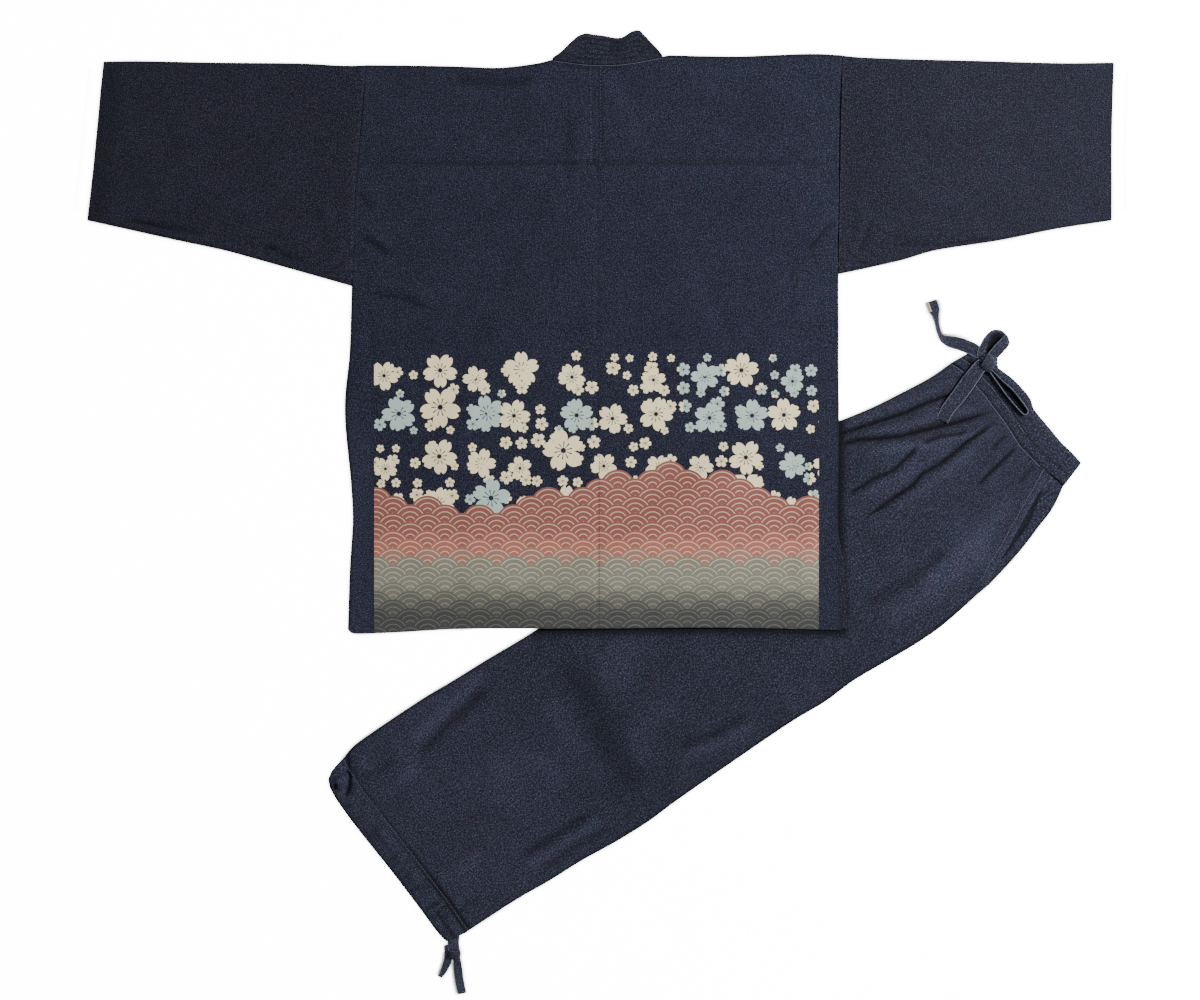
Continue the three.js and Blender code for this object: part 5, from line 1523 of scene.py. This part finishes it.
def ribbon_shape(rows, step=1.3):
    """Middle, across and through directions and half widths along a smoothed ribbon, on the table."""
    rows = np.asarray(rows, float)
    run = curve(rows, max(8, int(length_of(rows) / step)))
    x, y = leg_to_table(run[:, 0], run[:, 1])
    middle = np.stack([x, y, run[:, 2]], axis=-1)
    ahead = np.gradient(middle, axis=0)
    ahead /= np.linalg.norm(ahead, axis=1)[:, None]
    level = np.stack([ahead[:, 1], -ahead[:, 0], 0 * x], axis=-1)
    level /= np.linalg.norm(level, axis=1)[:, None]
    lean = np.radians(run[:, 4])[:, None]
    across = level * np.cos(lean) + np.cross(ahead, level) * np.sin(lean)
    through = np.cross(across, ahead)
    through /= np.linalg.norm(through, axis=1)[:, None]
    return middle, across, through, run[:, 3] / 2


def ribbon(name, rows, material, nodes, seed=0):
    middle, across, through, half = ribbon_shape(rows)
    count = len(middle)
    along = np.concatenate([[0], np.cumsum(np.linalg.norm(np.diff(middle, axis=0), axis=1))])
    bend = 0.5 * ripple(along, 0 * along + seed, 19, 90 + seed)
    upper = []
    lower = []
    for place, rib in zip(RIB_PLACES, RIB_HEIGHTS):
        edge_wave = 0.25 * ripple(along, 0 * along + place * 3, 8, 95 + seed)
        side = middle + across * (half * place + edge_wave * abs(place))[:, None]
        side = side + through * (bend * (place**2 - 0.3))[:, None]
        upper.append(side + through * (RIBBON_THICK / 2 * rib))
        lower.append(side - through * (RIBBON_THICK / 2 * rib))
    ring = np.array(upper + lower[::-1])
    around = len(ring)
    points = ring.transpose(1, 0, 2).reshape(-1, 3)
    j, k = np.meshgrid(np.arange(count - 1), np.arange(around), indexing="ij")
    a = j * around + k
    b = j * around + (k + 1) % around
    sides = np.stack([a, b, b + around, a + around], axis=-1).reshape(-1, 4)
    last = (count - 1) * around
    caps = []
    for k in range(len(RIB_PLACES) - 1):
        caps.append([k + 1, k, around - 1 - k, around - 2 - k])
        caps.append([last + k, last + k + 1, last + around - 2 - k, last + around - 1 - k])
    places = np.concatenate([RIB_PLACES, RIB_PLACES[::-1]])
    grain = np.stack([np.repeat(along, around), (half[:, None] * places[None]).ravel()], axis=-1)
    # The rims are made paler: edge wear, with painted highlight where the rolled edges catch the light.
    rim = np.clip((np.abs(places) - 0.8) * 5, 0, 1)
    # Painted shade on the inner face of the round loop, beside a lit outer rim that narrows along the loop.
    loop_painted_shade = np.zeros(count)
    rim_end = np.zeros(count)
    if name == "drawstring_loop_round":
        share = along / along[-1]
        loop_painted_shade = 0.97 * smooth((share - 0.1) / 0.08) * smooth((0.6 - share) / 0.06)
        rim_end = np.interp(share, [0, 0.12, 0.22, 0.32, 0.42, 0.56], [0.4, 0.2, -0.1, -0.42, -0.6, -0.6])
    inner_side = smooth((places[None] - rim_end[:, None]) / 0.24)
    shade = (loop_painted_shade[:, None] * inner_side).ravel()
    # Painted light: the hem ties are made paler all over, to make up for the weaker light at the lower left.
    hem_tie_painted_light = 0.3 if name.startswith("hem") else 0.0
    strip = to_mesh(name, points, [list(face) for face in sides[:, ::-1]] + caps, grain,
                    np.tile(rim * (0.6 - hem_tie_painted_light) + hem_tie_painted_light, count), shade)
    dress(strip, nodes, material)
    ribbon_rows.append((middle, across, through, half))
    return strip


ribbon_rows = []
RIBBONS = {
    "drawstring_loop_round": [(8, -84, 9.6, 10, 6), (1.5, -91.5, 9.0, 14, 6), (-12.5, -96, 7.2, 19, 6),
                              (-23.5, -98, 6.2, 20, 4), (-31.3, -95.6, 6.2, 16, -16),
                              (-35, -92.2, 7.6, 14, -60), (-35.8, -88.6, 9.6, 14, -60),
                              (-32, -85.8, 11.4, 14, -16), (-25, -84, 12, 15, -10),
                              (-17, -82.4, 12.2, 15, -10), (-6.8, -80, 12, 14, -8), (4, -78, 11.6, 10, 0)],
    "drawstring_loop_long": [(6.5, -76, 12.2, 7, -60), (5.5, -63, 10.8, 6, -80), (3.3, -47, 10.4, 6, -86),
                             (-0.8, -29, 10.4, 6, -88), (-2.2, -10.5, 10.4, 6, -88), (-2.3, 3, 10.4, 6, -88),
                             (-1.0, 7.2, 10.4, 6, -88), (1.8, 9.2, 10.4, 6, -88), (4.8, 7.8, 10.4, 6, -88),
                             (6.4, 3.6, 10.4, 6, -88), (8.0, -9.8, 10.4, 6, -88), (9.3, -28.3, 10.4, 6, -88),
                             (9.4, -44.6, 10.4, 6, -86), (9.8, -62, 10.8, 6, -80), (10, -76, 12.2, 7, -60)],
    "drawstring_tail_lower": [(7, -79, 12.4, 12, 0), (14.5, -78.3, 12.4, 17, 4), (37.2, -71.3, 12.8, 20, 6),
                              (59.3, -63.7, 12.8, 20, 4), (84.4, -56.2, 12.6, 18, 2), (98, -49, 12.2, 17, 0)],
    "drawstring_tail_upper": [(4, -86, 8.8, 14, 0), (7.5, -98, 8.4, 17, 4), (13, -109, 6.2, 18, 8),
                              (20, -119.5, 4.2, 17.5, 8), (27.5, -128, 3.8, 16, 14),
                              (32.6, -135.5, 4.4, 13, 30), (33, -142, 4.6, 11, 44), (30.8, -150, 4.6, 10, 46),
                              (26.3, -160, 4.0, 9.5, 40), (22, -168, 2.4, 10.5, 14),
                              (19.6, -173.5, 1.6, 15, 4), (15.5, -186, 1.1, 15.5, 0)],
    "hem_tie_root": [(1022, 131, 4.6, 15, 0), (1030, 141, 4.8, 16, 0), (1036, 154, 4.4, 15, 0)],
    "hem_tie_long": [(1034.5, 154, 4, 8, 0), (1039.5, 163, 2.4, 11, 12), (1046, 174, 1.4, 12, 4),
                     (1052.5, 186, 1, 12, 0), (1059, 201, 1, 11.5, 0)],
    "hem_tie_short": [(1037, 136, 4.2, 8, 0), (1041, 144.5, 3.6, 11, 10), (1048, 153.5, 2.6, 11, 12),
                      (1060, 161, 1.6, 9, 8), (1070.3, 165.6, 1.1, 6, 0)],
}
for number, (name, rows) in enumerate(RIBBONS.items()):
    ribbon(name, rows, ribbon_denim, [name], number)

# %% [markdown]
# A knot is one turn of ribbon pulled tight over the others. A rounded core with two creases across it
# stands for the gathered ribbon, and a broad strap goes over its middle.

# %% Knots
STRAP_SHARE = 0.6


def knot(name, spot, size, turn, lines, seed):
    """A tight knot: creased core in the trousers' plane, then set on the table."""
    around = 64
    rows = 33
    u = np.linspace(0, 2 * np.pi, around, endpoint=False)
    v = np.linspace(-np.pi / 2, np.pi / 2, rows)
    uu, vv = np.meshgrid(u, v)
    nx = np.cos(vv) * np.cos(uu)
    ny = np.cos(vv) * np.sin(uu)
    nz = np.sin(vv)
    strap = smooth((STRAP_SHARE - np.abs(nx)) / 0.09)
    creases = sum(np.exp(-((ny + slant * nx - place) / 0.07) ** 2) for place, slant in lines)
    grow = 0.86 + 0.15 * strap - 0.12 * creases * (1 - strap) + 0.03 * ripple(uu * 3, vv * 3, 1, seed)
    border = np.exp(-((np.abs(nx) - STRAP_SHARE) / 0.06) ** 2)
    grow -= 0.07 * border
    local = np.stack([nx * size[0] / 2, ny * size[1] / 2, nz * size[2] / 2], axis=-1) * grow[..., None]
    angle = math.radians(turn)
    s = spot[0] + local[..., 0] * math.cos(angle) - local[..., 1] * math.sin(angle)
    t = spot[1] + local[..., 0] * math.sin(angle) + local[..., 1] * math.cos(angle)
    x, y = leg_to_table(s, t)
    points = np.stack([x, y, spot[2] + local[..., 2]], axis=-1).reshape(-1, 3)
    j, k = np.meshgrid(np.arange(rows - 1), np.arange(around), indexing="ij")
    a = j * around + k
    b = j * around + (k + 1) % around
    faces = np.stack([a, b, b + around, a + around], axis=-1).reshape(-1, 4)
    grain = np.stack([uu * size[0] / 2, vv * size[2] / 2], axis=-1).reshape(-1, 2)
    # Painted highlight: the strap over the knot is made paler where light falls on it, with a pale line just
    # inside each border.
    paleness = 0.1 * strap + 0.5 * np.exp(-((np.abs(nx) - STRAP_SHARE + 0.12) / 0.05) ** 2)
    # Painted shade along the strap's borders and in the creases of the core.
    dark = np.clip(0.85 * border + 0.6 * creases * (1 - strap), 0, 1)
    lump = to_mesh(name, points, faces, grain, paleness.ravel(), dark.ravel())
    return dress(lump, [name], ribbon_denim)


drawstring_knot = knot("drawstring_knot", (3.8, -75, 11.4), (33, 24.5, 14), 112,
                       [(-0.4, 0.2), (0.35, -0.15)], 7)
hem_knot = knot("hem_tie_knot", (1035.6, 151.5, 4.4), (19, 16.5, 8.4), 55, [(-0.3, 0.1), (0.4, -0.2)], 8)

# %% [markdown]
# ## Stitches
#
# Seams are only believable with thread on them. One stitch is a tiny capsule; the rows copy it along
# each line, so each set of rows is one mesh. The height comes from the cloth under it.

# %% Stitch rows
STITCH_LENGTH = 2.7
STITCH_GAP = 1.1
THREAD = 0.27


def stitch_points(lines, surface, to_table=None, length=STITCH_LENGTH, pitch=STITCH_LENGTH + STITCH_GAP):
    """Middle and direction of each stitch along the lines, on top of the cloth."""
    middles = []
    directions = []
    for line in lines:
        total = length_of(line)
        places = np.arange(pitch / 2, total, pitch) / total
        middle = curve(line, places=places, soft=False)
        before = curve(line, places=np.clip(places - 0.5 * length / total, 0, 1), soft=False)
        after = curve(line, places=np.clip(places + 0.5 * length / total, 0, 1), soft=False)
        ends = []
        for spot in (before, middle, after):
            z = surface(spot[:, 0], spot[:, 1])
            x, y = to_table(spot[:, 0], spot[:, 1]) if to_table else (spot[:, 0], spot[:, 1])
            ends.append(np.stack([x, y, z], axis=-1))
        middles.append(ends[1] * 0.4 + (ends[0] + ends[2]) * 0.3)
        directions.append(ends[2] - ends[0])
    return np.vstack(middles), np.vstack(directions)


def stitches(name, middles, directions, slot_name, material, radius=THREAD):
    """One mesh of capsules, each lying along its direction."""
    sides = 5
    rings = np.array([-0.5, -0.34, 0.34, 0.5])
    thin = np.array([0.35, 1.0, 1.0, 0.35])
    long = np.linalg.norm(directions, axis=1)[:, None]
    along = directions / long
    side = np.cross(along, [0.0, 0.0, 1.0])
    side /= np.linalg.norm(side, axis=1)[:, None]
    up = np.cross(side, along)
    turn = np.linspace(0, 2 * np.pi, sides, endpoint=False)
    points = []
    for ring, share in zip(rings, thin):
        for angle in turn:
            offset = side * math.cos(angle) + up * math.sin(angle)
            points.append(middles + along * long * ring + offset * radius * share)
    points = np.stack(points, axis=1)
    one = []
    for ring in range(len(rings) - 1):
        for k in range(sides):
            a = ring * sides + k
            b = ring * sides + (k + 1) % sides
            one.append([a, a + sides, b + sides])
            one.append([a, b + sides, b])
    last = (len(rings) - 1) * sides
    one += [[0, k + 1, k] for k in range(1, sides - 1)]
    one += [[last, last + k, last + k + 1] for k in range(1, sides - 1)]
    one = np.array(one)[:, ::-1]
    each = len(rings) * sides
    faces = (one[None] + np.arange(len(middles))[:, None, None] * each).reshape(-1, 3)
    thread = to_mesh(name, points.reshape(-1, 3), faces)
    return dress(thread, [], material)


# %% Thread of the back and the sleeves
def back_top(x, y):
    return back_surface(x, y) + CLOTH + 0.1


armhole_rows = [inset_line(ARMHOLE_LEFT, 4), inset_line(ARMHOLE_RIGHT, -4)]
dark_rows = [yoke_row, hem_row, [(CENTRE_BACK + 2.5, YOKE_Y), (CENTRE_BACK + 2.5, -148)], *armhole_rows]
jacket_thread = stitches("jacket stitches", *stitch_points(dark_rows, back_top), "denim_back", dark_thread,
                         0.22)
centre_middles, centre_directions = stitch_points(centre_rows, back_top, None, 1.8, 4.6)
centre_thread = stitches("centre stitches", centre_middles, centre_directions, "denim_back", pale_thread, 0.2)
neck_row = inset_line(neck_line(-62, 80.5, 30), 1.2, 1)
neck_middles, neck_directions = stitch_points([neck_row], back_top, None, 2.7, 2.9)
neck_thread = stitches("neck stitches", neck_middles, neck_directions, "denim_back", pale_thread, 0.29)


def sleeve_top(side):
    def height(x, y):
        return SLEEVE_TOP + sleeve_puff(x, y, SLEEVE_EDGES[side]) + 0.05
    return height


for side in ("left", "right"):
    edges = SLEEVE_EDGES[side]
    cuff = curve(edges["cuff"], 20)[1:-1]
    rows = [inset_line(cuff, CUFF_DEPTH, -edges["out"])]
    stitches(f"{side} cuff stitches", *stitch_points(rows, sleeve_top(side)),
                                    "denim_sleeve", dark_thread, 0.22)


# %% Thread of the collar
def rib_top(share):
    def height(x, y):
        return collar_surface(x, y, share) + BAND + 0.1
    return height


low_edge = curve(collar_low, 40)
high_edge = curve(COLLAR_TOP, 40)
collar_middles = []
collar_directions = []
for row in range(1, COLLAR_CHANNELS):
    share = row / COLLAR_CHANNELS
    line = (low_edge * (1 - share) + high_edge * share)[3:-3]
    row_middles, row_directions = stitch_points([line], rib_top(share))
    collar_middles.append(row_middles)
    collar_directions.append(row_directions)
collar_thread = stitches("collar stitches", np.vstack(collar_middles), np.vstack(collar_directions),
                         "collar_denim", dark_thread, 0.24)


# %% Thread of the trousers
def leg_top(s, t):
    return leg_surface(s, t) + CLOTH + 0.08


def pocket_top(s, t):
    away = to_line(s, t, POCKET_MOUTH)[0]
    return leg_top(s, t) + POCKET_LIP * (1 - smooth((away - 7) / 10))


def band_top(s, t):
    away = to_line(s, t, WAIST_ROW)[0]
    rise = waist_gathers(s, t, 60) * (1 - 0.7 * np.exp(-(away / 2.5) ** 2))
    rise += 0.5 - 0.9 * np.exp(-(away / 2.0) ** 2)
    return LEG_LOW + 0.5 + rise + BAND_THICK + 0.08


def leg_stitches(name, line, surface, radius, length=STITCH_LENGTH, pitch=STITCH_LENGTH + STITCH_GAP):
    middles, directions = stitch_points([line], surface, leg_to_table, length, pitch)
    return stitches(name, middles, directions, "denim_trousers", pale_thread, radius)


leg_thread = leg_stitches("leg stitches", inset_line(CASING_SEAM, -2.5), leg_top, 0.24)
pocket_thread = leg_stitches("pocket stitches", inset_line(POCKET_MOUTH, 6.5), pocket_top, 0.26)
waist_thread = leg_stitches("waist stitches", WAIST_ROW, band_top, 0.26)
waist_seam_thread = leg_stitches("waist seam stitches", inset_line(WAIST_SEAM[:-1], 2.6), leg_top, 0.32,
                                 2.7, 3.1)


# %% Thread of the ribbons
def ribbon_track(row, place, lift, pitch, half_length):
    """Middles and directions of stitches that follow one ribbon at a share of its half width."""
    middle, across, through, half = row
    steps = np.linalg.norm(np.diff(middle, axis=0), axis=1)
    along = np.concatenate([[0], np.cumsum(steps)])
    places = np.arange(pitch, along[-1] - 1, pitch)
    track = middle + across * (half * place)[:, None] + through * lift
    spots = []
    for shift in (0, half_length, -half_length):
        spots.append(np.stack([np.interp(places + shift, along, track[:, k]) for k in range(3)], axis=-1))
    return spots[0], spots[1] - spots[2]


edge_middles = []
edge_directions = []
for row in ribbon_rows:
    for sign in (-1, 1):
        spots, directions = ribbon_track(row, 0.93 * sign, RIBBON_THICK * 0.36, 2.9, 1.42)
        edge_middles.append(spots)
        edge_directions.append(directions)
ribbon_thread = stitches("ribbon stitches", np.vstack(edge_middles), np.vstack(edge_directions), "tie_denim",
                         pale_thread, 0.36)

raw_middles = []
raw_directions = []
for name in ("drawstring_tail_upper", "hem_tie_long", "hem_tie_short"):
    row = ribbon_rows[list(RIBBONS).index(name)]
    spots, directions = ribbon_track(row, 1.16, 0.6, 1.7, 0.6)
    sideways = np.cross(directions, [0.0, 0.0, 1.0])
    raw_middles.append(spots[6:])
    raw_directions.append(sideways[6:] / np.linalg.norm(sideways[6:], axis=1)[:, None] * 3.6)
middle, across, through, half = ribbon_rows[list(RIBBONS).index("drawstring_tail_upper")]
for back in range(2, 12):
    end = len(middle) - back
    raw_middles.append((middle[end] - across[end] * (half[end] - 2) + (0, 0, 0.9))[None])
    raw_directions.append((across[end] * 5.0)[None])
stitches("raw edge stitches", np.vstack(raw_middles), np.vstack(raw_directions), "tie_denim", raw_thread,
         0.42)
threads = [thing for thing in bpy.data.objects if thing.name.endswith("stitches")]
print("stitches:", sum(len(thread.data.vertices) for thread in threads) // 20)

# %% [markdown]

# %% [markdown]
# ## Table top and light
#
# The set lies on plain white that glows for the camera, with a thin painted contact shadow beside
# the cloth. One broad soft light from the right gives the slow change of brightness across the
# sleeves and a short shadow at the left of each layer, and a weak one fills the rest.

# %% Stage and lights
floor_mesh = bpy.data.meshes.new("floor")
reach = 6.0
floor_mesh.from_pydata([(-reach, -reach, 0), (reach, -reach, 0), (reach, reach, 0), (-reach, reach, 0)], [],
                       [(0, 1, 2, 3)])
floor = bpy.data.objects.new("floor", floor_mesh)
bpy.context.scene.collection.objects.link(floor)
white = bpy.data.materials.new("white table")
white.use_nodes = True
white_shader = white.node_tree.nodes["Principled BSDF"]
white_shader.inputs["Base Color"].default_value = (0.9, 0.9, 0.9, 1)
white_shader.inputs["Roughness"].default_value = 0.9
white_shader.inputs["Emission Color"].default_value = (1, 1, 1, 1)
w = Wires(white.node_tree)
seen = w.node("ShaderNodeLightPath").outputs["Is Camera Ray"]
# Painted contact shadow: ambient occlusion dims the floor's camera-only glow right beside the cloth.
open_sky = w.node("ShaderNodeAmbientOcclusion", [("Distance", 0.006)], samples=6).outputs["AO"]
glow_with_painted_shadow = w.math("MULTIPLY", w.math("POWER", open_sky, 4.0), 14.5)
w.link(w.math("MULTIPLY", seen, glow_with_painted_shadow), white_shader.inputs["Emission Strength"])
floor.data.materials.append(white)
floor.location.z = -0.0002


def area_light(name, place, aim, width, power, tone=(1, 1, 1)):
    data = bpy.data.lights.new(name, "AREA")
    data.shape = "SQUARE"
    data.size = width
    data.energy = power
    data.color = tone
    light = bpy.data.objects.new(name, data)
    light.location = place
    direction = [a - b for a, b in zip(aim, place)]
    light.rotation_mode = "QUATERNION"
    light.rotation_quaternion = Vector(direction).to_track_quat("-Z", "Y")
    bpy.context.scene.collection.objects.link(light)
    return light


area_light("window", (2.36, 0.9, 1.96), (0.0, 0, 0), 0.9, 198)
area_light("fill", (-1.4, 1.2, 2.4), (0, 0, 0), 1.6, 19)
world = bpy.data.worlds.new("room")
world.use_nodes = True
world.node_tree.nodes["Background"].inputs["Color"].default_value = (1, 1, 1, 1)
world.node_tree.nodes["Background"].inputs["Strength"].default_value = 0.26
bpy.context.scene.world = world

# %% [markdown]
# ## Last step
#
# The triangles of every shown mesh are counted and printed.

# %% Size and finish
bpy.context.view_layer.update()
triangles = {thing.name: sum(len(face.vertices) - 2 for face in thing.data.polygons)
             for thing in bpy.data.objects if thing.type == "MESH" and not thing.hide_render}
print("triangles:", sum(triangles.values()), max(triangles.items(), key=lambda item: item[1]))
